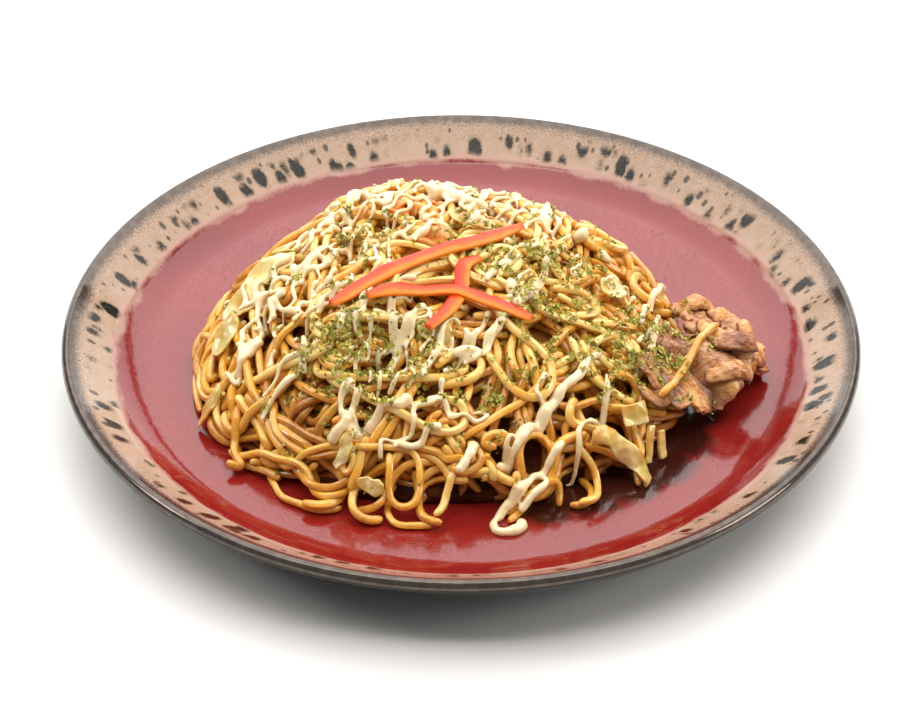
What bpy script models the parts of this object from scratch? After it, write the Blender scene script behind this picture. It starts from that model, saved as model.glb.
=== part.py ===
"""A serving of fried noodles on its round stoneware plate.

Metres, +Z up. The origin is the middle of the plate's foot, on the plane that the
plate stands on, and the diner sits on the -Y side. The plate is a turned solid. The
noodles are one heap out to their uneven outline. The pork, carrot, cabbage and red
pepper are solids of their own, laid one after another on what is already there.
"""

import math

import bmesh
import bpy
from mathutils import Vector, noise
from mathutils.bvhtree import BVHTree

MM = 0.001

# Plate: a nearly flat floor that turns up into a straight sloping wall, a round lip, a foot ring
PLATE_RADIUS = 0.130
PLATE_HEIGHT = 0.025
PLATE_SEGMENTS = 80
TURN_STEPS = 4
LIP_RADIUS = 0.0023
FLOOR_HEIGHT = 0.0085
FLOOR_DISH = 0.0008
WALL_START = 0.102
WALL_TURN = 0.011
FOOT_OUTER_RADIUS = 0.079
FOOT_INNER_RADIUS = 0.070
FOOT_HEIGHT = 0.0030
FOOT_ROUNDING = 0.0006

# Noodle heap: a mound, steep behind and easier in front, where it faces the diner. Its
# outline is in millimetres from its middle, every 30 degrees from +X
HEAP_MIDDLE = (-0.008, -0.004)
HEAP_OUTLINE = (84, 81, 78, 76, 78, 74, 80, 82, 83, 81, 84, 89)
HEAP_RISE = 0.045
HEAP_EDGE = 0.0035
BACK_POWERS = (3.0, 0.7)
FRONT_POWERS = (2.6, 1.0)
HEAP_SEGMENTS = 64
HEAP_RINGS = 17

# Clear space between touching pieces, how far round a point a laid piece feels for support,
# and how far out it starts to feel
GAP = 0.0004
LAID_GAP = 0.0006
FEEL = 0.0022
RAY_START = 0.2


# ---------------------------------------------------------------- shared tools

def clear_scene():
    for old in list(bpy.data.objects):
        bpy.data.objects.remove(old)


def finish(name, colour, roughness):
    """A plain Principled finish in a sub-part's own colour."""
    made = bpy.data.materials.new(name)
    made.use_nodes = True
    shader = made.node_tree.nodes["Principled BSDF"]
    shader.inputs["Base Color"].default_value = (*colour, 1.0)
    shader.inputs["Roughness"].default_value = roughness
    shader.inputs["Metallic"].default_value = 0.0
    made.diffuse_color = (*colour, 1.0)
    return made


def named_object(name, shape, material):
    """Links a finished bmesh as one named, smooth-shaded object."""
    bmesh.ops.recalc_face_normals(shape, faces=shape.faces)
    if shape.calc_volume(signed=True) < 0:
        bmesh.ops.reverse_faces(shape, faces=shape.faces)
    mesh = bpy.data.meshes.new(name)
    shape.to_mesh(mesh)
    shape.free()
    mesh.shade_smooth()
    mesh.set_sharp_from_angle(angle=math.radians(40))
    mesh.materials.append(material)
    made = bpy.data.objects.new(name, mesh)
    bpy.context.scene.collection.objects.link(made)
    return made


def turned(profile, segments):
    """A bmesh spun about Z from (radius, height) points that start and end on the axis."""
    shape = bmesh.new()
    points = [shape.verts.new((radius, 0.0, height)) for radius, height in profile]
    edges = [shape.edges.new(pair) for pair in zip(points, points[1:])]
    bmesh.ops.spin(
        shape, geom=points + edges, cent=(0, 0, 0), axis=(0, 0, 1),
        angle=math.tau, steps=segments, use_merge=True,
    )
    bmesh.ops.remove_doubles(shape, verts=shape.verts, dist=1e-6)
    return shape


def smooth_step(before, start, end, after, t):
    """A value a share t of the way from start to end, on a smooth curve (Catmull-Rom)."""
    return 0.5 * (
        2 * start + (end - before) * t
        + (2 * before - 5 * start + 4 * end - after) * t ** 2
        + (3 * start - before - 3 * end + after) * t ** 3
    )


def curve_through(points, share):
    """The place a share of the way along a smooth open curve through the points."""
    spot = min(max(share, 0.0), 1.0) * (len(points) - 1)
    index = min(int(spot), len(points) - 2)
    near = [Vector(points[min(max(index + k, 0), len(points) - 1)]) for k in (-1, 0, 1, 2)]
    return smooth_step(*near, spot - index)


def outline_radius(radii, angle):
    """Radius at an angle, on a smooth closed outline through evenly spread radii."""
    spot = (angle % math.tau) / math.tau * len(radii)
    index = int(spot)
    near = [radii[(index + k) % len(radii)] for k in (-1, 0, 1, 2)]
    return smooth_step(*near, spot - index)


# ---------------------------------------------------------------- plate

def plate_surface(radius):
    """Height of the plate's upper face at a distance from its middle."""
    height = FLOOR_HEIGHT + FLOOR_DISH * min(radius / WALL_START, 1.0) ** 2
    straight = PLATE_RADIUS - LIP_RADIUS - WALL_START - WALL_TURN
    slope = (PLATE_HEIGHT - FLOOR_HEIGHT - FLOOR_DISH) / (WALL_TURN / 2 + straight)
    turned_by = min(max(radius - WALL_START, 0.0), WALL_TURN)
    height += slope * turned_by ** 2 / (2 * WALL_TURN)
    return height + slope * max(radius - WALL_START - WALL_TURN, 0.0)


def plate_profile():
    """The plate's section, from the middle of its floor over the lip to below its middle."""
    crest = PLATE_RADIUS - LIP_RADIUS
    floor = [(share * WALL_START, plate_surface(share * WALL_START)) for share in (0, 0.4, 0.75, 1)]
    wall = []
    for step in range(1, TURN_STEPS + 1):
        radius = WALL_START + WALL_TURN * step / TURN_STEPS
        wall.append((radius, plate_surface(radius)))
    wall.append((crest, plate_surface(crest)))
    lip = []
    for degrees in (60, 30, 0, -35):
        across = LIP_RADIUS * math.cos(math.radians(degrees))
        up = LIP_RADIUS * math.sin(math.radians(degrees))
        lip.append((crest + across, PLATE_HEIGHT - LIP_RADIUS + up))
    below = [(0.1245, 0.0150), (0.1160, 0.0092), (0.1050, 0.0052), (0.0920, 0.0036)]
    foot = [
        (FOOT_OUTER_RADIUS + 0.0015, FOOT_HEIGHT),
        (FOOT_OUTER_RADIUS, FOOT_ROUNDING),
        (FOOT_OUTER_RADIUS - FOOT_ROUNDING, 0.0),
        (FOOT_INNER_RADIUS + FOOT_ROUNDING, 0.0),
        (FOOT_INNER_RADIUS, FOOT_ROUNDING),
        (FOOT_INNER_RADIUS - 0.0015, FOOT_HEIGHT),
        (0.0, FOOT_HEIGHT),
    ]
    return floor + wall + lip + below + foot


def make_plate(material):
    return named_object("plate", turned(plate_profile(), PLATE_SEGMENTS), material)


# ---------------------------------------------------------------- noodle heap

def heap_radius(angle):
    """Distance from the heap's middle to its ragged outline."""
    ragged = 2.4 * noise.noise(Vector((3.1 * math.cos(angle), 3.1 * math.sin(angle), 7.0)))
    return (outline_radius(HEAP_OUTLINE, angle) + ragged) * MM


def heap_height(x, y, share, angle):
    """Height of the heap's face at a place that is a share of the way out to its outline."""
    front = min(max(0.35 - 0.9 * math.sin(angle), 0.0), 1.0)
    fall, fullness = (
        back + (fore - back) * front for back, fore in zip(BACK_POWERS, FRONT_POWERS))
    dome = HEAP_EDGE + (HEAP_RISE - HEAP_EDGE) * max(1 - share ** fall, 0.0) ** fullness
    lumps = 3.6 * noise.noise(Vector((x, y, 0.02)) / 0.034)
    bundles = 2.2 * noise.noise(Vector((x, y, 0.05)) / 0.014)
    ridges = 2.4 * (0.5 - abs(noise.noise(Vector((x, y, 0.09)) / 0.012)))
    relief = (lumps + bundles + ridges) * MM * (1 - share ** 6)
    return plate_surface(math.hypot(x, y)) + dome + relief


def make_heap(material):
    """Turns a unit blank, then moves its points out to the outline and up to the heap's face."""
    top = [(math.sin(0.5 * math.pi * ring / HEAP_RINGS), 1.0) for ring in range(HEAP_RINGS + 1)]
    bottom = [(share, 0.0) for share in (0.985, 0.75, 0.4, 0.0)]
    shape = turned(top + bottom, HEAP_SEGMENTS)
    for point in shape.verts:
        share = math.hypot(point.co.x, point.co.y)
        angle = math.atan2(point.co.y, point.co.x)
        reach = share * heap_radius(angle)
        x = HEAP_MIDDLE[0] + reach * math.cos(angle)
        y = HEAP_MIDDLE[1] + reach * math.sin(angle)
        height = plate_surface(math.hypot(x, y)) + GAP
        if point.co.z > 0.5:
            height = heap_height(x, y, share, angle)
        point.co = (x, y, height)
    return named_object("noodle_heap", shape, material)


# ---------------------------------------------------------------- toppings

class Bed:
    """Everything laid so far, and a leaning frame in which the next piece is laid.

    A piece's own u runs level across the frame and v up its slope, and heights are
    measured out of it. lean is the slope in degrees and facing the way it looks.
    """

    def __init__(self, *laid):
        self.trees = []
        for thing in laid:
            self.add(thing)
        self.lean_to()

    def add(self, thing):
        corners = [point.co for point in thing.data.vertices]
        faces = [tuple(face.vertices) for face in thing.data.polygons]
        self.trees.append(BVHTree.FromPolygons(corners, faces))

    def lean_to(self, middle=(0.0, 0.0, 0.0), facing=-90.0, lean=0.0):
        azimuth, slope = math.radians(facing), math.radians(lean)
        level = Vector((math.cos(azimuth), math.sin(azimuth), 0.0))
        self.middle = Vector(middle) * MM
        self.out = level * math.sin(slope) + Vector((0.0, 0.0, math.cos(slope)))
        self.across = Vector((-level.y, level.x, 0.0))
        self.upward = self.out.cross(self.across)

    def place(self, u, v, height):
        return self.middle + self.across * u + self.upward * v + self.out * height

    def support(self, u, v):
        """The highest thing within reach of one spot, measured out of the frame."""
        best = -1.0
        start = self.place(u, v, RAY_START)
        for turn in range(9):
            angle = math.tau * turn / 8
            reach = FEEL if turn < 8 else 0.0
            aside = (self.across * math.cos(angle) + self.upward * math.sin(angle)) * reach
            for tree in self.trees:
                distance = tree.ray_cast(start + aside, -self.out)[3]
                if distance is not None:
                    best = max(best, RAY_START - distance)
        return best

    def lay(self, shape, plan, rise, limpness):
        """Settles a blank: plan gives each point's (u, v) and rise its height over the bed."""
        shape.verts.index_update()
        spots = [plan(point.co) for point in shape.verts]
        heights = [self.support(*spot) for spot in spots]
        beside = [[edge.other_vert(point).index for edge in point.link_edges] for point in shape.verts]
        for _ in range(limpness):
            means = [sum(heights[k] for k in near) / len(near) for near in beside]
            heights = [max(own, mean) for own, mean in zip(heights, means)]
        lifts = [rise(point.co) for point in shape.verts]
        for point, spot, height, lift in zip(shape.verts, spots, heights, lifts):
            point.co = self.place(*spot, height + LAID_GAP + lift)


def squared(value, power):
    return math.copysign(abs(value) ** power, value)


def make_strip(name, route, width, thickness, bed, material, *, arch=0.0, limpness=5,
               taper=0.45, sides=8, station=4.0):
    """A cut strip of food laid along a route of (u, v) millimetres.

    arch lifts the middle of its section, and taper is how wide its ends are left.
    """
    rough_length = sum((Vector(b) - Vector(a)).length for a, b in zip(route, route[1:]))
    stations = max(round(rough_length / station), 3)
    shape = bmesh.new()
    bmesh.ops.create_cone(
        shape, cap_ends=True, segments=sides, radius1=1.0, radius2=1.0, depth=2.0,
    )
    for step in range(1, stations):
        everything = shape.verts[:] + shape.edges[:] + shape.faces[:]
        height = -1.0 + 2.0 * step / stations
        bmesh.ops.bisect_plane(shape, geom=everything, plane_co=(0, 0, height), plane_no=(0, 0, 1))

    def plan(blank):
        share = 0.5 + 0.5 * blank.z
        middle = curve_through(route, share)
        ahead = curve_through(route, share + 0.01) - curve_through(route, share - 0.01)
        aside = Vector((-ahead.y, ahead.x)).normalized()
        closing = min(min(share, 1.0 - share) * rough_length / width, 1.0)
        full = taper + (1.0 - taper) * math.sin(0.5 * math.pi * closing)
        spot = middle.xy + aside * squared(blank.x, 0.7) * 0.5 * width * full
        return spot.x * MM, spot.y * MM

    def rise(blank):
        up = 0.5 + 0.5 * squared(blank.y, 0.7)
        return (up * thickness + arch * (1.0 - blank.x ** 2)) * MM

    bed.lay(shape, plan, rise, limpness)
    made = named_object(name, shape, material)
    bed.add(made)
    return made


def make_slice(name, middle, radii, thickness, bed, material, *, turn=0.0, limpness=4,
               waves=0.0, segments=26, seed=0.0):
    """A flat cut of food with a ragged outline, draped over the bed.

    radii are its outline in millimetres, evenly spread round its middle, turned by turn
    degrees, and waves lifts its edge in folds.
    """
    profile = [(0.0, 1.0), (0.4, 1.0), (0.72, 1.0), (0.93, 0.92), (1.0, 0.5),
               (0.93, 0.08), (0.72, 0.0), (0.4, 0.0), (0.0, 0.0)]
    shape = turned(profile, segments)

    def plan(blank):
        share = math.hypot(blank.x, blank.y)
        angle = math.atan2(blank.y, blank.x)
        ragged = 1.0 + 0.10 * noise.noise(Vector((2 * math.cos(angle), 2 * math.sin(angle), seed)))
        reach = share * outline_radius(radii, angle) * ragged
        heading = angle + math.radians(turn)
        u = middle[0] + reach * math.cos(heading)
        v = middle[1] + reach * math.sin(heading)
        return u * MM, v * MM

    def rise(blank):
        share = math.hypot(blank.x, blank.y)
        angle = math.atan2(blank.y, blank.x)
        fold = waves * share ** 2 * (0.5 + 0.5 * math.sin(3 * angle + seed))
        relief = 0.25 * thickness * noise.noise(Vector((3 * blank.x, 3 * blank.y, seed)))
        return (blank.z * (thickness + relief) + fold) * MM

    bed.lay(shape, plan, rise, limpness)
    made = named_object(name, shape, material)
    bed.add(made)
    return made


def make_cabbage(bed):
    """Cut cabbage that shows on the front and right faces, and one piece at the back."""
    green = finish("cabbage", (0.72, 0.76, 0.38), 0.40)
    bed.lean_to((-28, -83, 20), facing=-105, lean=70)
    make_slice("cabbage_leaf_front", (0, 0), (4.2, 4.4, 2.6, 4.4, 4.2, 3.8, 2.3, 3.8), 1.0, bed, green,
               turn=-8, segments=16)
    bed.lean_to((-36, -75, 29), facing=-110, lean=65)
    make_strip("cabbage_frill_front", [(1.5, 6), (0.5, 0), (-1.6, -7)], 4.0, 1.0, bed, green)
    bed.lean_to((49, -66, 24), facing=-60, lean=60)
    make_strip("cabbage_strip_right", [(-8, 4), (-2, 3), (2, -3), (5, -9), (7, -15)], 5.5, 1.2, bed, green)
    bed.lean_to((55, -57, 27), facing=-50, lean=55)
    make_slice("cabbage_square_right", (1, 1), (5.4, 5.0, 3.4, 4.6, 4.6, 4.0, 3.2, 4.8), 1.2, bed, green,
               turn=-12, segments=16)
    bed.lean_to((60, -59, 17), facing=-50, lean=65)
    make_strip("cabbage_stick_right_1", [(3, 6), (0.5, 1), (-2, -5)], 2.6, 2.0, bed, green)
    make_strip("cabbage_stick_right_2", [(6, 3), (5, -1), (4, -6)], 2.8, 2.0, bed, green)
    bed.lean_to()
    make_slice("cabbage_piece_back", (4, 12), (5.0, 4.5, 3.6, 4.6, 5.2, 4.4, 3.8, 4.6), 1.2, bed, green,
               turn=10, segments=16, waves=0.6)
    bed.lean_to((51, -8, 44), facing=0, lean=30)
    make_slice("cabbage_piece_right", (0, 0), (5.0, 4.4, 5.4, 6.0, 5.6, 4.8, 4.4, 5.0), 1.2, bed, green,
               segments=16, waves=0.6, seed=4.0)


def make_carrot(bed):
    """Two thin slices of carrot among the noodles towards the back."""
    orange = finish("carrot", (0.86, 0.32, 0.08), 0.40)
    bed.lean_to()
    make_slice("carrot_slice_top", (-9, 5), (6.5, 6.0, 4.4, 5.0, 6.0, 5.2, 4.2, 5.4), 1.8, bed, orange,
               turn=-30, segments=18, seed=1.0)
    make_slice("carrot_slice_back", (-21, 23), (3.6, 3.4, 3.0, 3.2, 3.6, 3.2, 2.8, 3.2), 1.8, bed, orange,
               segments=14, seed=2.0)


def make_pork(bed):
    """Two slices of pork against the heap's right side, the front one resting on the rear one."""
    brown = finish("fried pork", (0.42, 0.19, 0.07), 0.45)
    bed.lean_to((86, 4, 19), facing=10, lean=25)
    make_slice("pork_slice_rear", (-3, -1), (21, 18, 14, 16, 22, 16, 13, 19), 4.5, bed, brown,
               limpness=14, waves=1.5, seed=5.0)
    bed.lean_to((77, -22, 21), facing=-10, lean=35)
    make_slice("pork_slice_front", (-5, 2), (16, 19, 16, 21, 16, 11, 15, 20), 3.6, bed, brown,
               limpness=14, waves=0.8, seed=9.0)


def make_pepper(bed):
    """Three cut strips of red pepper on top, the curved one last across the hooked one."""
    red = finish("red pepper", (0.80, 0.10, 0.03), 0.25)
    bed.lean_to()
    make_strip("pepper_strip_long", [(-40, -33), (-29, -24), (-12, -10), (5, 0), (20, 11)],
               6.5, 3.0, bed, red, arch=0.6)
    make_strip("pepper_strip_hooked", [(-10, -41), (-3, -31), (0, -21), (1, -12), (6, -7)],
               5.5, 3.0, bed, red, arch=0.5)
    make_strip("pepper_strip_curved", [(-29, -31), (-17, -26), (-5, -23), (9, -28), (22, -35)],
               6.0, 3.0, bed, red, arch=0.5)


def main():
    clear_scene()
    stoneware = finish("glazed stoneware", (0.30, 0.06, 0.05), 0.25)
    noodles = finish("fried noodles", (0.72, 0.42, 0.14), 0.40)
    plate = make_plate(stoneware)
    heap = make_heap(noodles)
    bed = Bed(plate, heap)
    make_cabbage(bed)
    make_carrot(bed)
    make_pork(bed)
    make_pepper(bed)


main()
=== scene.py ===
"""Looks of a plate of fried noodles: a speckled stoneware plate, noodles laid strand by
strand over a saucy core painted dark as shade, pork, cabbage, carrot and red pepper,
threads of mayonnaise and flakes of green laver. Metres, +Z up, with the diner on the -Y side.
"""

import math
from itertools import product

import bpy
import numpy as np
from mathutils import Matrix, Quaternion, Vector, noise
from mathutils.bvhtree import BVHTree


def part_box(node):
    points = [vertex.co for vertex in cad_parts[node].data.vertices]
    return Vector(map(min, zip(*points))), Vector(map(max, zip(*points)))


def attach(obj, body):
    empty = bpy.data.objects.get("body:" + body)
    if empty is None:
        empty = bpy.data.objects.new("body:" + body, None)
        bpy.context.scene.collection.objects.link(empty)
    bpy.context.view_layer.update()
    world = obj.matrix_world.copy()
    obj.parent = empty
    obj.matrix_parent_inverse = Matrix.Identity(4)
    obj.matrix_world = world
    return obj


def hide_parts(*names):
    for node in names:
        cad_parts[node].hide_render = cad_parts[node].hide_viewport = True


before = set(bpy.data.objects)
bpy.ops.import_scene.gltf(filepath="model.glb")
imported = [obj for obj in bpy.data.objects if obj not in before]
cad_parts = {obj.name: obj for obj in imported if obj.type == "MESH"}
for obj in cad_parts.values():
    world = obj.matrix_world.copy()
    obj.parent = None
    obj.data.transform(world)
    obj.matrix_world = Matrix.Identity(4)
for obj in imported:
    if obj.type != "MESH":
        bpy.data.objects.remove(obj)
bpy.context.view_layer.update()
BODY = "root"
MM = 0.001
ABOVE_ALL = 200.0  # a height in millimetres from which to feel down
CREASE = 50  # edges that turn by more degrees than this stay sharp

bl_info = {
    "name": "Plate of fried noodles",
    "version": (1, 0, 0),
    "blender": (4, 5, 0),
    "location": "View3D > Sidebar > Noodles",
    "description": "Models a plate of fried noodles with its toppings round a fixed frame",
    "category": "Object",
}


# ---- sizes and colours

class PlateSettings(bpy.types.PropertyGroup):
    steps: bpy.props.IntProperty(
        name="Steps round", description="Facets round the plate", default=180, min=24)
    red_edge: bpy.props.FloatProperty(
        name="Red edge", description="Radius where the red glaze ends",
        default=0.1130, unit="LENGTH")
    band_edge: bpy.props.FloatProperty(
        name="Band edge", description="Radius where the cream band meets the dark rim",
        default=0.1248, unit="LENGTH")
    red: bpy.props.FloatVectorProperty(
        name="Red", description="Glaze of the floor", subtype="COLOR", size=4,
        default=(0.275, 0.016, 0.012, 1.0))
    cream: bpy.props.FloatVectorProperty(
        name="Cream", description="Glaze of the band", subtype="COLOR", size=4,
        default=(0.490, 0.350, 0.256, 1.0))
    rim: bpy.props.FloatVectorProperty(
        name="Rim", description="Glaze of the lip and the underside", subtype="COLOR", size=4,
        default=(0.100, 0.080, 0.068, 1.0))


class NoodleSettings(bpy.types.PropertyGroup):
    diameter: bpy.props.FloatProperty(
        name="Diameter", description="Mean thickness of a noodle", default=0.0026, unit="LENGTH")
    length: bpy.props.FloatProperty(
        name="Total length", description="Length of all noodles together", default=23.0, unit="LENGTH")
    depth: bpy.props.FloatProperty(
        name="Depth", description="Thickness of the layer of noodles over the core",
        default=0.010, unit="LENGTH")
    limpness: bpy.props.FloatProperty(
        name="Limpness", description="How tightly a noodle bends over what lies below", default=0.05)
    settling: bpy.props.IntProperty(
        name="Settling", description="Rounds of settling under gravity", default=90, min=0)
    gaps: bpy.props.IntProperty(
        name="Gaps", description="Dark gaps between the strands", default=46, min=0)
    seed: bpy.props.IntProperty(name="Seed", description="Seed of the strands", default=7)
    pale: bpy.props.FloatVectorProperty(
        name="Pale", description="A noodle with little sauce", subtype="COLOR", size=4,
        default=(0.90, 0.450, 0.058, 1.0))
    sauced: bpy.props.FloatVectorProperty(
        name="Sauced", description="A noodle soaked in sauce", subtype="COLOR", size=4,
        default=(0.25, 0.055, 0.004, 1.0))


class StageSettings(bpy.types.PropertyGroup):
    lens: bpy.props.FloatProperty(
        name="Lens", description="Focal length of the camera in millimetres", default=85.0)
    key_power: bpy.props.FloatProperty(
        name="Key light", description="Power of the large soft light behind the plate",
        subtype="POWER", default=55.0)
    back_power: bpy.props.FloatProperty(
        name="Backdrop", description="Power of the low light far behind the plate",
        subtype="POWER", default=16.5)
    side_power: bpy.props.FloatProperty(
        name="Side light", description="Power of the low soft light at the right",
        subtype="POWER", default=3.6)
    gloss_power: bpy.props.FloatProperty(
        name="Gloss light", description="Power of the thin light above that draws fine highlights",
        subtype="POWER", default=1.3)
    glint_power: bpy.props.FloatProperty(
        name="Glint light", description="Power of the small light that makes the highlights",
        subtype="POWER", default=2.4)
    sky: bpy.props.FloatProperty(
        name="Surroundings", description="Brightness of the white surroundings", default=0.16)


# ---- general tools

def deselect():
    for chosen in list(bpy.context.selected_objects):
        chosen.select_set(False)


def take_up(thing):
    """Makes one object the only selected and the active one."""
    deselect()
    thing.select_set(True)
    bpy.context.view_layer.objects.active = thing


def new_object(name, data):
    """A new object in the scene, with its mesh, lamp or lens."""
    made = bpy.data.objects.new(name, data)
    bpy.context.scene.collection.objects.link(made)
    return made


def as_mesh(name, points, faces, material=None):
    """An object of its own from arrays of points and faces."""
    mesh = bpy.data.meshes.new(name)
    mesh.from_pydata(points, [], faces)
    mesh.update()
    if material:
        mesh.materials.append(material)
    return new_object(name, mesh)


def store(mesh, layer, values):
    """Stores a number on each point of a mesh, for its material."""
    mesh.attributes.new(layer, "FLOAT", "POINT").data.foreach_set("value", values)


def smooth(thing, degrees=None):
    """Shades smooth, all over or only where it turns by less than some degrees."""
    take_up(thing)
    if degrees is None:
        bpy.ops.object.shade_smooth()
    else:
        bpy.ops.object.shade_smooth_by_angle(angle=math.radians(degrees))


def joined(parts):
    """Joins objects into the first of them, and returns it."""
    deselect()
    for part in parts:
        part.select_set(True)
    bpy.context.view_layer.objects.active = parts[0]
    bpy.ops.object.join()
    return parts[0]


def hand_over(piece, slot, *nodes):
    """Rides a finished piece on the part, in place of the frame's nodes that it stands for."""
    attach(piece, BODY)
    if nodes:
        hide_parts(*nodes)


def shape_tree(*things):
    """One search tree over the faces of several objects."""
    points, faces = [], []
    for thing in things:
        base = len(points)
        points += [point.co.copy() for point in thing.data.vertices]
        faces += [[base + k for k in face.vertices] for face in thing.data.polygons]
    return BVHTree.FromPolygons(points, faces)


def blurred(values, width):
    """A running mean along the last axis, over width samples, that keeps the ends."""
    half = width // 2
    padding = [(0, 0)] * (values.ndim - 1) + [(half, half)]
    padded = np.pad(values, padding, mode="edge")
    total = np.cumsum(padded, axis=-1)
    total = np.concatenate([np.zeros(total.shape[:-1] + (1,)), total], axis=-1)
    size = 2 * half + 1
    return (total[..., size:] - total[..., :-size]) / size


def unit(vectors, spare=1e-9):
    """The same directions, all of length one."""
    return vectors / (np.linalg.norm(vectors, axis=-1, keepdims=True) + spare)


def eased(p0, p1, p2, p3, t):
    """A smooth curve's value between p1 and p2, at t from 0 to 1."""
    return 0.5 * (
        2 * p1 + (p2 - p0) * t + (2 * p0 - 5 * p1 + 4 * p2 - p3) * t ** 2
        + (3 * p1 - p0 - 3 * p2 + p3) * t ** 3)


# ---- materials

class Finish:
    """A material's node tree, built up from its Principled shader."""

    def __init__(self, name):
        self.material = bpy.data.materials.new(name)
        self.material.use_nodes = True
        self.nodes = self.material.node_tree.nodes
        self.links = self.material.node_tree.links
        self.shader = self.nodes["Principled BSDF"]

    def set(self, **values):
        """Sets the shader's own inputs, with _ for each space in a name."""
        for key, value in values.items():
            self.shader.inputs[key.replace("_", " ")].default_value = value
        return self

    def node(self, kind, settings=None, **inputs):
        """A new node with its settings, its inputs fed."""
        made = self.nodes.new(kind)
        for key, value in (settings or {}).items():
            setattr(made, key, value)
        for key, value in inputs.items():
            self.plug(made, key.replace("_", " "), value)
        return made

    def plug(self, made, key, value):
        """Feeds an input, given by name or as #0, #1 and so on, a socket or a value."""
        if key.startswith("#"):
            socket = made.inputs[int(key[1:])]
        else:
            socket = made.inputs[key]
        if isinstance(value, bpy.types.NodeSocket):
            self.links.new(value, socket)
        else:
            socket.default_value = value

    def object_place(self):
        return self.node("ShaderNodeTexCoord").outputs["Object"]

    def attribute(self, name):
        return self.node("ShaderNodeAttribute", {"attribute_name": name}).outputs["Fac"]

    def maths(self, operation, a, b=0.0):
        made = self.node("ShaderNodeMath", {"operation": operation})
        self.plug(made, "#0", a)
        self.plug(made, "#1", b)
        return made.outputs[0]

    def plus(self, a, b):
        return self.maths("ADD", a, b)

    def minus(self, a, b):
        return self.maths("SUBTRACT", a, b)

    def times(self, a, b):
        return self.maths("MULTIPLY", a, b)

    def parts(self, vector):
        """The X, Y and Z of a vector."""
        return self.node("ShaderNodeSeparateXYZ", Vector=vector).outputs

    def vector(self, operation, a, **inputs):
        """A node that works on the vector a."""
        made = self.node("ShaderNodeVectorMath", {"operation": operation}, **inputs)
        self.plug(made, "#0", a)
        return made

    def noise(self, place, scale, detail=2.0, roughness=0.5):
        made = self.node("ShaderNodeTexNoise", Vector=place, Scale=scale, Detail=detail)
        made.inputs["Roughness"].default_value = roughness
        return made.outputs["Fac"]

    def ramp(self, factor, stops):
        """A colour ramp through (place, colour) stops."""
        made = self.node("ShaderNodeValToRGB", Fac=factor)
        band = made.color_ramp
        while len(band.elements) < len(stops):
            band.elements.new(0.5)
        for element, (place, colour) in zip(band.elements, stops):
            element.position = place
            element.color = colour
        return made.outputs["Color"]

    def span(self, value, low, high):
        """Maps low..high to 0..1, clamped."""
        made = self.node("ShaderNodeMapRange", Value=value)
        made.inputs["From Min"].default_value = low
        made.inputs["From Max"].default_value = high
        return made.outputs["Result"]

    def mix(self, factor, a, b, blend="MIX"):
        made = self.node("ShaderNodeMix", {"data_type": "RGBA", "blend_type": blend})
        self.plug(made, "Factor", factor)
        self.plug(made, "#6", a)
        self.plug(made, "#7", b)
        return made.outputs[2]

    def colour(self, value):
        self.links.new(value, self.shader.inputs["Base Color"])
        return self

    def bump(self, height, strength, distance):
        made = self.node("ShaderNodeBump", Height=height, Strength=strength, Distance=distance)
        self.links.new(made.outputs["Normal"], self.shader.inputs["Normal"])
        return self


# Patches in front of the heap's right foot where the red glaze is painted dark brown: x, y and reach in
# millimetres
DARK_PATCHES_BY_HEAP = ((26, -74, 12), (38, -70, 13), (50, -64, 13), (60, -55, 13), (68, -44, 11), (74, -34, 9))
PATCH_FADE = 2.5  # how far a patch's edge fades in and out, in millimetres
# Radii in the cream band, in metres: the cylinder that carries the drops, the row of large
# drops and the belt of small ones
DRUM_RADIUS, DROPS_RADIUS, DOTS_RADIUS = 0.118, 0.1186, 0.1200
# How far two glazes blend on each side of their edge, in metres
BLEND, RIM_BLEND = 0.0007, 0.0012


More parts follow.
